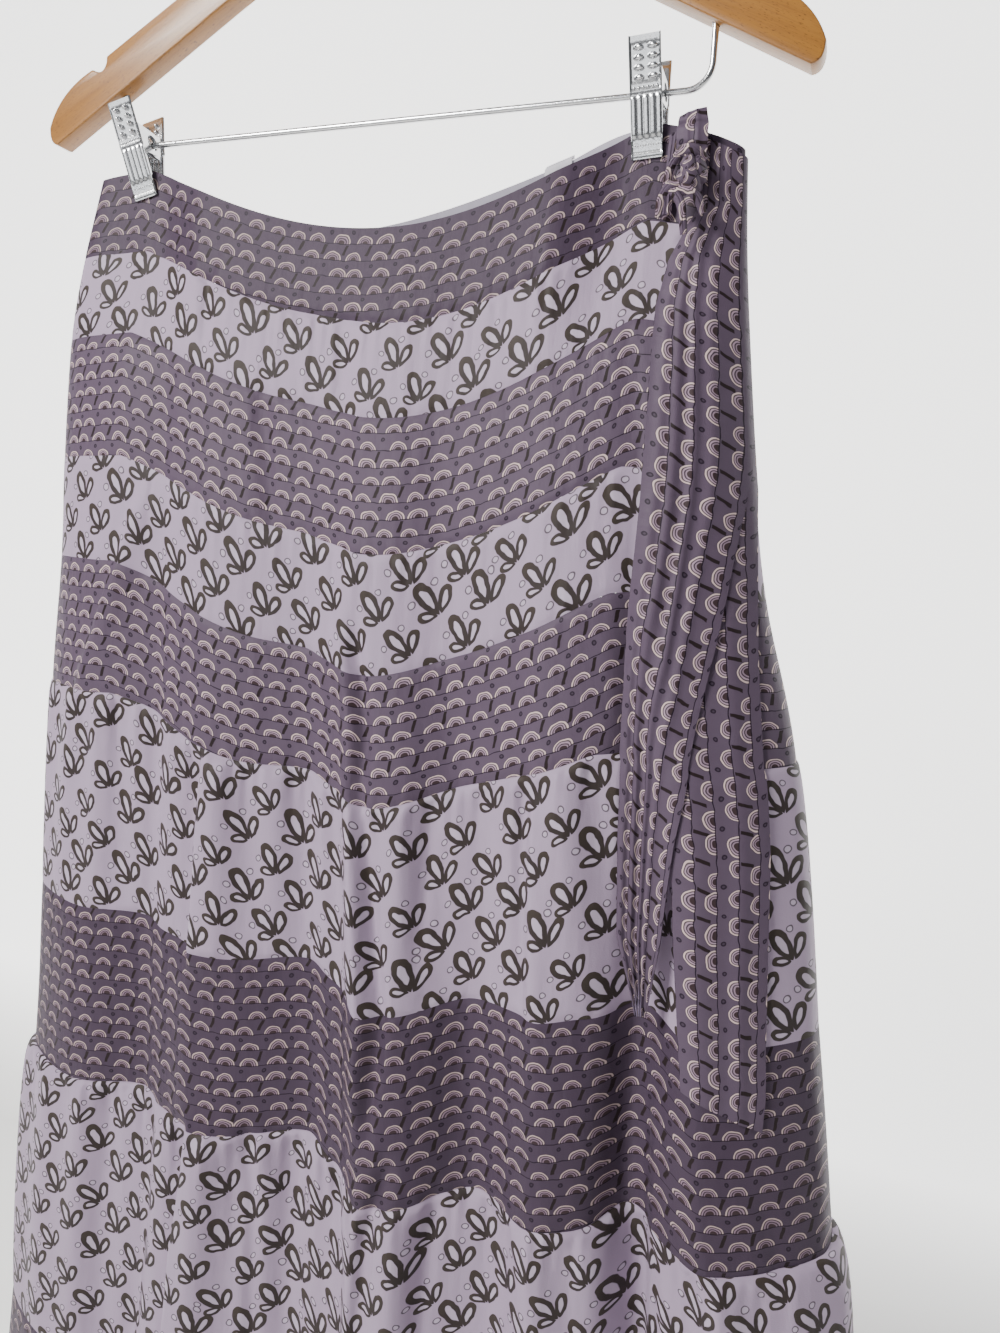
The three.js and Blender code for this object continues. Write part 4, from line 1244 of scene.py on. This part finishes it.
@dataclass
class Sash:
    """The sash at the right side: two tails, the knot, its turned-up stub and the narrow loop."""

    finishes: Finishes
    wall: float = 0.8
    band_wall: float = 1.4
    knot: tuple[float, float, float] = (168.6, -18.7, -249.5)
    knot_radii: tuple[float, float, float] = (7.2, 9.0, 9.4)
    bands: tuple[tuple[float, tuple[tuple[float, float, float], ...]], ...] = (
        (
            4.2,
            ((154.5, -20.5, -268.0), (156.0, -24.0, -261.0), (160.0, -27.5, -256.5), (165.0, -28.4, -255.6)),
        ),
        (
            4.4,
            ((158.0, -23.0, -253.0), (162.5, -27.6, -259.0), (166.5, -28.2, -265.5), (168.4, -26.8, -278.0)),
        ),
        (
            5.0,
            ((160.0, -19.0, -241.0), (165.0, -23.5, -239.2), (170.5, -23.5, -239.8), (175.0, -18.5, -243.5)),
        ),
        (
            4.0,
            ((156.6, -19.0, -255.5), (158.4, -22.6, -250.0), (160.4, -23.4, -245.0), (163.0, -20.0, -240.0)),
        ),
        (
            4.6,
            ((163.5, -27.0, -257.5), (168.5, -28.6, -258.6), (173.5, -26.5, -262.0), (176.0, -22.0, -268.0)),
        ),
    )

    @property
    def dress(self) -> list:
        """The outer and the inner finish of the sash's cloth."""
        return self.finishes.cloth(Print.ARCH, painted_shade=False)

    def tail(self, tail: Tail, columns: int, steps: int) -> Cut:
        """One hanging tail, laid over the skirt's own surface."""
        share = np.linspace(0, 1, columns)
        j = np.linspace(0, 1, steps)[:, None]
        slant = tail.top_slant * (1 - j) ** 6 + tail.tip_slant * j**6
        z = lerp(tail.rows[0].z, tail.rows[-1].z, j) - slant * share
        heights = [-row.z for row in tail.rows]
        left = np.interp(-z, heights, [row.left for row in tail.rows])
        right = np.interp(-z, heights, [row.right for row in tail.rows])
        edge = FORM.level("right", FORM.row(np.full_like(z, LEVELS[-1].right), z))
        x = lerp(left, np.minimum(right, edge), share)
        v = FORM.row(x, z)
        t = FORM.place(x, v)
        tier = FORM.tier_of(v)
        step = np.minimum(0.003, (1 - np.abs(t)) / 2 + 1e-5)
        ahead = FORM.point(F, np.clip(t + step, -1, 1), v, tier, spans=True)
        behind = FORM.point(F, np.clip(t - step, -1, 1), v, tier, spans=True)
        along = ahead - behind
        level = np.stack([along[..., 1], -along[..., 0], np.zeros_like(z)], -1)
        level /= np.maximum(np.linalg.norm(level, axis=-1, keepdims=True), 1e-9)
        level[np.abs(t) > 0.9999] = (1.0, 0.0, 0.0)
        points = FORM.point(F, t, v, tier, spans=True)
        points[..., 2] = z
        off = tail.base + np.zeros_like(z)
        for place, width, height in tail.pleats:
            drift = place + 0.03 * np.sin(4.0 * j + 9 * place)
            off = off + height * np.exp(-(((share - drift) / width) ** 2)) * (0.55 + 0.45 * j)
        off = off + tail.lift * np.sin(np.clip(share, 0, 1) * math.pi)
        off = lerp(off, 0.5, smoothstep(np.abs(t), 0.9, 1.0))
        grid = points + level * (off + self.wall)[..., None]
        across = arc_lengths(grid[steps // 2][None], 1)[0]
        down = arc_lengths(grid, 0)
        uv = np.stack([-down + 11.0, -0.8 * np.broadcast_to(across, down.shape)], -1) * MM
        hint = np.array([0.0, -1.0, 0.0])
        piece = cloth_shell(tail.name + "_cloth", grid, uv, self.wall, hint, self.dress)
        return Cut.of(settle(piece, Print.ARCH.value, tail.name), grid)

    def ball(self) -> bpy.types.Object:
        """The knot: a tight ball of cloth with the turns of the sash drawn across it."""
        around, down = 72, 48
        phi = np.linspace(0, 2 * math.pi, around, endpoint=False)[None, :]
        theta = np.linspace(0, math.pi, down)[1:-1, None]
        unit = np.stack(
            np.broadcast_arrays(np.sin(theta) * np.cos(phi), np.sin(theta) * np.sin(phi), np.cos(theta)), -1
        )
        turn = unit[..., 0] * 0.85 + unit[..., 2] * 0.52
        cross = unit[..., 2] * 0.85 - unit[..., 0] * 0.52
        swell = 1 + 0.05 * np.sin(2 * np.arctan2(unit[..., 2], unit[..., 0]) + 2 * unit[..., 1])
        for place in (-0.62, 0.58):
            swell = swell - 0.16 * np.exp(-(((turn - place - 0.12 * cross) / 0.1) ** 2))
        swell = swell + 0.008 * np.sin(22 * turn + 3 * cross)
        shape = unit * swell[..., None] * np.array(self.knot_radii) + np.array(self.knot)
        poles = np.array(self.knot) + np.array([[0, 0, 1.0], [0, 0, -1.0]]) * np.array(self.knot_radii)
        count = shape.shape[0] * around
        faces = []
        for j in range(shape.shape[0] - 1):
            for i in range(around):
                a, b = j * around + i, j * around + (i + 1) % around
                faces.append([a, a + around, b + around, b])
        base = count - around
        for i in range(around):
            faces.append([count, i, (i + 1) % around])
            faces.append([count + 1, base + (i + 1) % around, base + i])
        points = np.concatenate([shape.reshape(-1, 3), poles])
        local = (points - np.array(self.knot)) / self.knot_radii[0]
        uv = np.stack([local[:, 2] * 12 + local[:, 0] * 9, local[:, 0] * 12 - local[:, 2] * 9], -1) * MM
        piece = mesh_object("knot_ball", points, faces, self.dress, uv)
        bands = [self.band(np.array(path), width) for width, path in self.bands]
        return settle(joined("sash_knot_cloth", [piece, *bands]), Print.ARCH.value, "sash_knot")

    def band(self, path: Array, width: float) -> bpy.types.Object:
        """A turn of folded sash drawn along a path across the knot."""
        line = smooth_path(path, 8)
        along = np.gradient(line, axis=0)
        side = np.cross(along, (0.0, -1.0, 0.0))
        side /= np.linalg.norm(side, axis=1, keepdims=True)
        share = np.linspace(0, 1, 18)
        taper = 0.75 + 0.25 * np.sin(np.linspace(0, math.pi, len(line)))
        bow = 1.5 * np.sin(math.pi * share) ** 0.7 - 0.5 * np.exp(-(((share - 0.42) / 0.07) ** 2))
        grid = line[:, None] + side[:, None] * ((share - 0.5) * width)[None, :, None] * taper[:, None, None]
        grid[..., 1] -= bow[None, :]
        uv = np.stack([arc_lengths(grid, 0), arc_lengths(grid, 1)], -1) * MM
        hint = np.array([0.0, -1.0, 0.0])
        return cloth_shell("band", grid, uv, self.band_wall, hint, self.dress)

    def strip(self, name: str, rows: tuple, wall: float, pleat: float, tip: float, folds: tuple = ()) -> Cut:
        """A short strip of folded sash.

        Args:
            name: The node that it stands for.
            rows: Height, middle x, width and y of each row, from the top.
            wall: Its thickness.
            pleat: The height of the two pleats along it.
            tip: How much lower its top's left corner is than its right one.
            folds: Shares of the way down at which it is creased across.

        Returns:
            The strip and its cut.
        """
        table = np.array(rows, float)
        down = np.linspace(0, 1, 40)
        at = np.linspace(0, 1, len(table))
        z, x, width, y = (np.interp(down, at, table[:, k]) for k in range(4))
        share = np.linspace(0, 1, 26)[None, :]
        bow = -1.3 * np.sin(math.pi * share)
        for place in (0.32, 0.66):
            bow = bow - pleat * np.exp(-(((share - place - 0.08 * down[:, None]) / 0.07) ** 2))
        for place in folds:
            bow = bow + 1.3 * np.exp(-(((down[:, None] - place - 0.1 * (share - 0.5)) / 0.055) ** 2))
        grid = np.stack(
            np.broadcast_arrays(
                x[:, None] + width[:, None] * (share - 0.5),
                y[:, None] + bow + wall * 0.2,
                z[:, None] - tip * (1 - share) * (1 - down[:, None]) ** 2,
            ),
            -1,
        )
        across, length = arc_lengths(grid, 1), arc_lengths(grid, 0)
        uv = np.stack([-length, -across], -1) * MM
        hint = np.array([0.0, -1.0, 0.0])
        piece = cloth_shell(name + "_cloth", grid, uv, wall, hint, self.dress)
        return Cut.of(settle(piece, Print.ARCH.value, name), grid)

    def build(self) -> None:
        """Builds and dresses every piece and logs the cuts of the tails and the stub."""
        x = self.knot[0]
        under = self.tail(UNDER, 44, 150)
        over = self.tail(OVER, 72, 170)
        stub_rows = (
            (-217.5, x - 2.2, 12.5, -14.5),
            (-224.5, x - 1.8, 14.8, -16.0),
            (-235.0, x - 1.4, 14.6, -17.0),
            (-242.6, x - 1.0, 12, -17.5),
        )
        stub = self.strip("sash_stub", stub_rows, 2.4, 0.5, 3.2, (0.3, 0.68))
        loop_rows = ((-225.0, 157.4, 5.5, -8.6), (-240.2, 156.4, 4.0, -9.6), (-263.0, 155.4, 5.5, -8.6))
        loop = self.strip("sash_loop", loop_rows, 1.6, 0.5, 1.5)
        knot = self.ball()
        under.declare("hung", [knot])
        over.declare("hung", [knot], [loop.piece])
        stub.declare("folded", [knot])


# ---------------------------------------------------------------- the hanger and its clips


@dataclass
class Hanger:
    """The wooden body, its hook and its bar."""

    finishes: Finishes
    half: float = 222.0
    thick: float = 13.0
    bevel: float = 1.2
    hook_wire: float = 1.8
    hook_radius: float = 23.0
    bar_wire: float = 1.7
    bar_half: float = 171.6
    bar_z: float = BAR_Z
    bends: tuple[float, float] = (4.5, 12.0)
    sink: float = 8.0
    arm_root: tuple[float, float] = (95.0, -133.0)
    arm_tip: tuple[float, float] = (217.0, -200.0)

    def lower_edge(self, x: float) -> float:
        """Height of the wood's lower edge at x."""
        (ax, az), (bx, bz) = self.arm_root, self.arm_tip
        return az + (bz - az) * (abs(x) - ax) / (bx - ax)

    def outline(self) -> list:
        """The body's outline, from the top's middle clockwise round the right arm and back."""
        half = self.half
        right = [(0.0, -73.0)]

        def curve(control: tuple[float, float], end: tuple[float, float], count: int) -> None:
            """Adds a curve from the last point."""
            ax, az = right[-1]
            for k in range(1, count + 1):
                f = k / count
                x = (1 - f) ** 2 * ax + 2 * f * (1 - f) * control[0] + f * f * end[0]
                z = (1 - f) ** 2 * az + 2 * f * (1 - f) * control[1] + f * f * end[1]
                right.append((x, z))

        curve((26, -73), (60, -92), 16)
        right += [(100, -112.5), (140, -133), (181, -154)]
        curve((180.4, -158), (183.2, -160.8), 5)
        curve((186, -163.2), (191, -160), 6)
        curve((half - 6, -170), (half + 1, -190), 14)
        curve((half + 1.2, -199.6), self.arm_tip, 6)
        right += [(176, -177.5), (135, -155)]
        right.append(self.arm_root)
        curve((40, -104), (0, -102), 16)
        return right + [(-x, z) for x, z in right[-2:0:-1]]

    def wood(self) -> bpy.types.Object:
        """The flat wooden body with rounded edges and the holes for the wires."""
        outline = self.outline()
        count = len(outline)
        front = [(x, -self.thick / 2, z) for x, z in outline]
        back = [(x, self.thick / 2, z) for x, z in outline]
        faces = [list(range(count))[::-1], [count + i for i in range(count)]]
        faces += [[i, (i + 1) % count, count + (i + 1) % count, count + i] for i in range(count)]
        body = mesh_object("hanger_wood_body", np.array(front + back), faces, [self.finishes.wood])
        mesh = bmesh.new()
        mesh.from_mesh(body.data)
        bmesh.ops.recalc_face_normals(mesh, faces=mesh.faces)
        mesh.to_mesh(body.data)
        mesh.free()
        rim = body.modifiers.new("rim", "BEVEL")
        rim.width = self.bevel * MM
        rim.segments = 3
        rim.limit_method = "ANGLE"
        rim.angle_limit = math.radians(50)
        foot = self.lower_edge(self.bar_half) - 6
        cutters = [
            self.cutter(-self.bar_half, foot, self.bar_wire + 0.3, self.sink + 8),
            self.cutter(self.bar_half, foot, self.bar_wire + 0.3, self.sink + 8),
            self.cutter(0.0, -83.0, self.hook_wire + 0.3, 20.0),
        ]
        for cutter in cutters:
            hole = body.modifiers.new("hole", "BOOLEAN")
            hole.object = cutter
            hole.operation = "DIFFERENCE"
            hole.solver = "EXACT"
        made = bpy.data.meshes.new_from_object(body.evaluated_get(bpy.context.evaluated_depsgraph_get()))
        body.modifiers.clear()
        body.data = made
        for cutter in cutters:
            bpy.data.objects.remove(cutter)
        made.polygons.foreach_set("use_smooth", np.ones(len(made.polygons), bool))
        made.set_sharp_from_angle(angle=math.radians(28))
        return settle(body, "honey_wood", "hanger_wood")

    def cutter(self, x: float, z: float, radius: float, height: float) -> bpy.types.Object:
        """A round upright cutter."""
        path = np.array([(x, 0.0, z), (x, 0.0, z + height / 2), (x, 0.0, z + height)])
        return tube("cutter", path, radius, 24, self.finishes.wood)

    def hook(self) -> bpy.types.Object:
        """The hook and its stem, with a rounded end."""
        centre = self.hook_wire - self.hook_radius
        turn = np.radians(np.arange(-54, 200.1, 3))
        arc = [(self.hook_radius * math.cos(a), centre + self.hook_radius * math.sin(a)) for a in turn]
        stem = [(0.0, -82.0), (0.0, -74.0), (0.0, -64.0), (0.0, -57.5)]
        neck = [(0.7, -52.6), (2.4, -48.8), (6.0, -45.2)]
        path = np.array([(x, 0.0, z) for x, z in stem + neck + arc])
        piece = tube("hanger_hook_wire", smooth_path(path, 3), self.hook_wire, 24, self.finishes.chrome)
        return settle(piece, "chrome", "hanger_hook")

    def bar(self) -> bpy.types.Object:
        """The bar with its two upturned ends."""
        top = self.lower_edge(self.bar_half) + self.sink - 0.3

        def end(sign: float, bend: float) -> list:
            """The points of one end, from its top down to the bar."""
            points = [(sign * self.bar_half, 0.0, top), (sign * self.bar_half, 0.0, self.bar_z + bend + 4)]
            for angle in np.radians(np.arange(0, 91, 9)):
                x = self.bar_half - bend + bend * math.cos(angle)
                points.append((sign * x, 0.0, self.bar_z + bend - bend * math.sin(angle)))
            return points

        middle = [(x, 0.0, self.bar_z) for x in np.linspace(-150, 150, 21)]
        path = np.array(end(-1, self.bends[0]) + middle + end(1, self.bends[1])[::-1])
        piece = tube("hanger_bar_wire", path, self.bar_wire, 24, self.finishes.chrome)
        return settle(piece, "chrome", "hanger_bar")

    def build(self) -> None:
        """Builds every piece."""
        self.wood()
        self.hook()
        self.bar()


def smooth_path(path: Array, parts: int) -> Array:
    """Points on a smooth curve through a path's own points, parts to each stretch."""
    padded = np.concatenate([[2 * path[0] - path[1]], path, [2 * path[-1] - path[-2]]])
    made = []
    for i in range(len(path) - 1):
        a, b, c, d = padded[i : i + 4]
        for k in range(parts):
            f = k / parts
            made.append(
                b + 0.5 * f * (c - a + f * (2 * a - 5 * b + 4 * c - d + f * (3 * (b - c) + d - a)))
            )
    return np.array(made + [path[-1]])


@dataclass
class Clip:
    """A spring clip on the bar: two jaws with a grip above and flutes below, their ears and the spring."""

    finishes: Finishes
    name: str
    pivot: float
    lean: float
    bar_z: float = BAR_Z
    width: float = 15.5
    sheet: float = 1.0
    above: float = 21.0
    below: float = 31.0
    spread: float = 14.0
    tip: float = 2.9
    ear: float = 1.0
    hole: float = 4.3

    @property
    def height(self) -> float:
        """A jaw's whole height."""
        return self.above + self.below

    def place(self, points: Array) -> Array:
        """Turns points of the clip's own frame to its lean and moves them to its pivot."""
        a = math.radians(-self.lean)
        x, y, z = np.asarray(points, float).T
        turned = np.stack([x * math.cos(a) + z * math.sin(a), y, -x * math.sin(a) + z * math.cos(a)], -1)
        return turned + np.array([self.pivot, 0.0, self.bar_z])

    def face(self, across: Array, along: Array, sign: float, out: float) -> Array:
        """Points on a jaw's face in the clip's frame, across from -1 to 1 and along from 0 to 1."""
        y = lerp(self.spread, self.tip, np.minimum(1, along / 0.97)) + out
        x = across * self.width / 2
        z = self.above - along * self.height
        return np.stack(np.broadcast_arrays(x * sign, -y * sign, z), -1)

    def plate(self, sign: float) -> bpy.types.Object:
        """A jaw's plate, pressed into flutes with a rolled rim."""
        across = np.linspace(-1, 1, 57)
        along = np.concatenate([[0, 0.008, 0.02], np.linspace(0.035, 0.965, 66), [0.98, 0.992, 1]])
        a, b = np.meshgrid(across, along)
        panel = smoothstep(b, 0.05, 0.075) * (1 - smoothstep(b, 0.36, 0.385))
        panel = panel * (1 - smoothstep(abs(a), 0.84, 0.9))
        flutes = smoothstep(b, 0.47, 0.5) * (1 - smoothstep(b, 0.8, 0.83))
        ridge = 0.55 * np.abs(np.cos(2.5 * math.pi * a)) ** 0.7 * (1 - smoothstep(abs(a), 0.9, 0.95))
        rim = 0.5 * np.exp(-(((np.abs(a) - 0.96) / 0.045) ** 2))
        ledge = 0.35 * np.exp(-(((b - 0.445) / 0.012) ** 2)) + 0.5 * np.exp(-(((b - 0.965) / 0.016) ** 2))
        out = self.sheet + 0.1 - 0.25 * panel + flutes * ridge + rim * (1 - flutes) * 0.6 + ledge
        grid = self.place(self.face(a, b, sign, 0).reshape(-1, 3)).reshape(*a.shape, 3)
        grid[..., 1] -= sign * out
        uv = np.stack([a * self.width / 2, -b * self.height], -1) * MM
        hint = np.array([0.0, -sign, 0.0])
        part = "front" if sign > 0 else "back"
        return cloth_shell(f"plate_{part}", grid, uv, self.sheet, hint, [self.finishes.chrome])

    def studs(self, sign: float) -> list:
        """The bumps of the grip, the row of dots and the teeth under the flutes."""
        chrome = self.finishes.chrome

        def line(across: tuple[float, float], along: tuple[float, float], out: float) -> Array:
            """Two ends of a line on the jaw's face."""
            return self.place(self.face(np.array(across), np.array(along), sign, out))

        columns = [line((a, a), (0.095, 0.335), self.sheet - 0.1) for a in (-0.43, 0.43)]
        dots = [line((-0.72, 0.72), (0.415, 0.415), self.sheet + 0.1)]
        teeth = [line((-0.9, 0.9), (0.885, 0.885), self.sheet)]
        return [
            beads("grips", columns, chrome, 0.24 * self.height / 3.001, Vector((3.1, 1.6, 1.6))),
            beads("dots", dots, chrome, 1.44 * self.width / 2 / 5.001, Vector((0.75, 0.6, 0.75))),
            beads("teeth", teeth, chrome, 1.8 * self.width / 2 / 11.001, Vector((0.42, 0.55, 0.42))),
        ]

    def ears(self, sign: float) -> list:
        """The two ears that fold back from a jaw round the spring."""
        reach = lerp(self.spread, self.tip, self.above / self.height) + self.sheet / 2
        hole = self.hole
        rim = [(3.2, -6.2), (hole + 1.2, -3.0), (hole + 1.7, 0.0), (hole + 1.2, 3.0), (3.2, 6.2)]
        outline = [(-reach + 1.8, -7.5), *rim, (-reach - 1.2, 7.5)]
        made = []
        for side in (-1, 1):
            inset = 0.0 if sign > 0 else self.ear + 0.3
            x = side * (self.width / 2 - inset - self.ear / 2)
            mesh = bmesh.new()
            outer = [mesh.verts.new((x - self.ear / 2, y * sign, z)) for y, z in outline]
            turn = [2 * math.pi * k / 20 for k in range(20)]
            circle = [(hole * math.cos(a), hole * math.sin(a)) for a in turn]
            inner = [mesh.verts.new((x - self.ear / 2, y * sign, z)) for y, z in circle]
            rings = (outer, inner)
            edges = [mesh.edges.new((ring[i], ring[i - 1])) for ring in rings for i in range(len(ring))]
            filled = bmesh.ops.triangle_fill(mesh, edges=edges, use_beauty=True)
            faces = [item for item in filled["geom"] if isinstance(item, bmesh.types.BMFace)]
            grown = bmesh.ops.extrude_face_region(mesh, geom=faces, use_keep_orig=True)
            moved = [item for item in grown["geom"] if isinstance(item, bmesh.types.BMVert)]
            bmesh.ops.translate(mesh, verts=moved, vec=(self.ear, 0, 0))
            bmesh.ops.recalc_face_normals(mesh, faces=mesh.faces)
            points = self.place(np.array([vert.co[:] for vert in mesh.verts]))
            mesh.verts.index_update()
            polygons = [[vert.index for vert in polygon.verts] for polygon in mesh.faces]
            mesh.free()
            made.append(mesh_object("ear", points, polygons, [self.finishes.chrome]))
        return made

    def spring(self) -> bpy.types.Object:
        """The coiled spring round the bar."""
        turns, radius, half = 5.5, 4.05, 3.9
        a = np.linspace(0, 2 * math.pi * turns, int(turns * 26))
        x = np.linspace(-half, half, len(a))
        coil = np.stack([x, radius * np.cos(a), radius * np.sin(a)], -1)
        piece = tube(f"clip_{self.name}_spring_wire", self.place(coil), 0.8, 10, self.finishes.chrome)
        return settle(piece, "chrome", f"clip_{self.name}_spring")

    def build(self) -> None:
        """Builds every piece."""
        for part, sign in (("front", 1.0), ("back", -1.0)):
            parts = [self.plate(sign), *self.studs(sign), *self.ears(sign)]
            piece = joined(f"clip_{self.name}_{part}_jaw", parts)
            settle(piece, "chrome", f"clip_{self.name}_{part}")
        self.spring()


# ---------------------------------------------------------------- the studio


@dataclass
class Studio:
    """The camera, the soft lights, the pale world and the floor."""

    focal_px: float = 990.0
    frame_px: float = 1333.0
    camera_at: tuple[float, float, float] = (258.7, -502.7, -424.5)
    yaw: float = -19.56
    pitch: float = -7.0
    roll: float = 3.0
    floor_z: float = -1350.0
    world_strength: float = 0.26
    key: float = 66.0
    fill: float = 5.5
    glow: float = 2.1

    def camera(self) -> None:
        """The camera, level with the skirt's middle and a little to its right."""
        data = bpy.data.cameras.new("camera")
        data.sensor_fit = "VERTICAL"
        data.sensor_height = 24.0
        data.lens = self.focal_px / self.frame_px * 24.0
        data.clip_start = 0.01
        data.clip_end = 50.0
        yaw, pitch, roll = (math.radians(angle) for angle in (self.yaw, self.pitch, self.roll))
        ahead = Vector((math.sin(yaw), math.cos(yaw), 0.0))
        right = Vector((math.cos(yaw), -math.sin(yaw), 0.0))
        up = Vector((0.0, 0.0, 1.0))
        forward = ahead * math.cos(pitch) + up * math.sin(pitch)
        above = up * math.cos(pitch) - ahead * math.sin(pitch)
        axis_x = right * math.cos(roll) + above * math.sin(roll)
        axis_y = above * math.cos(roll) - right * math.sin(roll)
        matrix = Matrix((axis_x, axis_y, -forward)).transposed().to_4x4()
        matrix.translation = Vector(self.camera_at) * MM
        thing = bpy.data.objects.new("camera", data)
        thing.matrix_world = matrix
        bpy.context.collection.objects.link(thing)
        bpy.context.scene.camera = thing

    def light(self, name: str, at: tuple, target: tuple, size: tuple, watts: float, tint: tuple) -> None:
        """One panel light, its size wide and high, that looks at a target."""
        data = bpy.data.lights.new(name, "AREA")
        data.shape = "RECTANGLE"
        data.size, data.size_y = size
        data.energy = watts
        data.color = tint
        thing = bpy.data.objects.new(name, data)
        thing.location = at
        thing.rotation_euler = (Vector(target) - Vector(at)).to_track_quat("-Z", "Y").to_euler()
        bpy.context.collection.objects.link(thing)

    def world(self) -> None:
        """A pale world, brighter above and dim below, so that plated steel has something to show."""
        world = bpy.data.worlds.new("studio")
        world.use_nodes = True
        nodes, links = world.node_tree.nodes, world.node_tree.links
        background = nodes["Background"]
        split, ramp = nodes.new("ShaderNodeSeparateXYZ"), nodes.new("ShaderNodeValToRGB")
        links.new(nodes.new("ShaderNodeTexCoord").outputs["Generated"], split.inputs[0])
        links.new(split.outputs["Z"], ramp.inputs["Fac"])
        ramp.color_ramp.elements[0].color = (0.6, 0.6, 0.62, 1.0)
        ramp.color_ramp.elements[1].color = (0.95, 0.96, 1.0, 1.0)
        ramp.color_ramp.elements[1].position = 0.6
        links.new(ramp.outputs["Color"], background.inputs["Color"])
        background.inputs["Strength"].default_value = self.world_strength
        bpy.context.scene.world = world

    def floor(self) -> None:
        """The plain pale floor, curved up into a backdrop behind."""
        dye = Dye("studio_floor", "efeeec", Roughness=0.9)
        x, y, z = dye.axes("Object", 1000.0)
        dye.cover("e6e5e3", dye.noise(dye.vector(x, y, z), 0.003, 2.0), 0.4)
        dye.shader.inputs["Emission Color"].default_value = (1.0, 1.0, 0.99, 1.0)
        lit = (z + 1340.0).op("DIVIDE", 120.0, clamp=True) * self.glow
        dye.tree.links.new(lit.socket, dye.shader.inputs["Emission Strength"])
        turn = [math.radians(angle) for angle in range(0, 91, 10)]
        bend = [(500 + 500 * math.sin(a), 500 - 500 * math.cos(a)) for a in turn]
        profile = [(-3000.0, 0.0), *bend, (1000.0, 3600.0)]
        points = [(x, y, self.floor_z + z) for x in (-4000.0, 4000.0) for y, z in profile]
        count = len(profile)
        faces = [[i, count + i, count + i + 1, i + 1] for i in range(count - 1)]
        mesh_object("studio_floor", np.array(points), faces, [dye.done()])

    def card(self) -> None:
        """A dark card out of view, for the plated steel to mirror."""
        dye = Dye("studio_card", "151515", Roughness=0.8)
        x, y, z = dye.axes("Object", 1000.0)
        dye.cover("202020", dye.noise(dye.vector(x, y, z), 0.01, 2.0), 0.5)
        points = [(1250, -1100, -300), (1250, -300, -300), (1250, -300, 500), (1250, -1100, 500)]
        mesh_object("studio_card", np.array(points, float), [[0, 1, 2, 3]], [dye.done()])

    def build(self) -> None:
        """Sets up the whole studio."""
        self.camera()
        self.world()
        self.floor()
        self.card()
        self.light("key", (-0.9, -1.5, 0.62), (0.0, 0.0, -0.55), (0.7, 0.7), self.key, (1.0, 0.985, 0.965))
        self.light("strip", (-0.75, -1.6, -0.2), (-0.75, 0.0, -0.2), (2.1, 0.4), self.fill, (0.97, 0.98, 1.0))


def main() -> None:
    """Builds the object's looks and its studio."""
    logging.basicConfig(level=logging.INFO, format="%(message)s")
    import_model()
    Studio().build()
    finishes = Finishes()
    Skirt(finishes).build()
    Sash(finishes).build()
    Hanger(finishes).build()
    Clip(finishes, "left", -160.0, 12.0).build()
    Clip(finishes, "right", 142.0, 3.0).build()


if __name__ == "__main__":
    main()
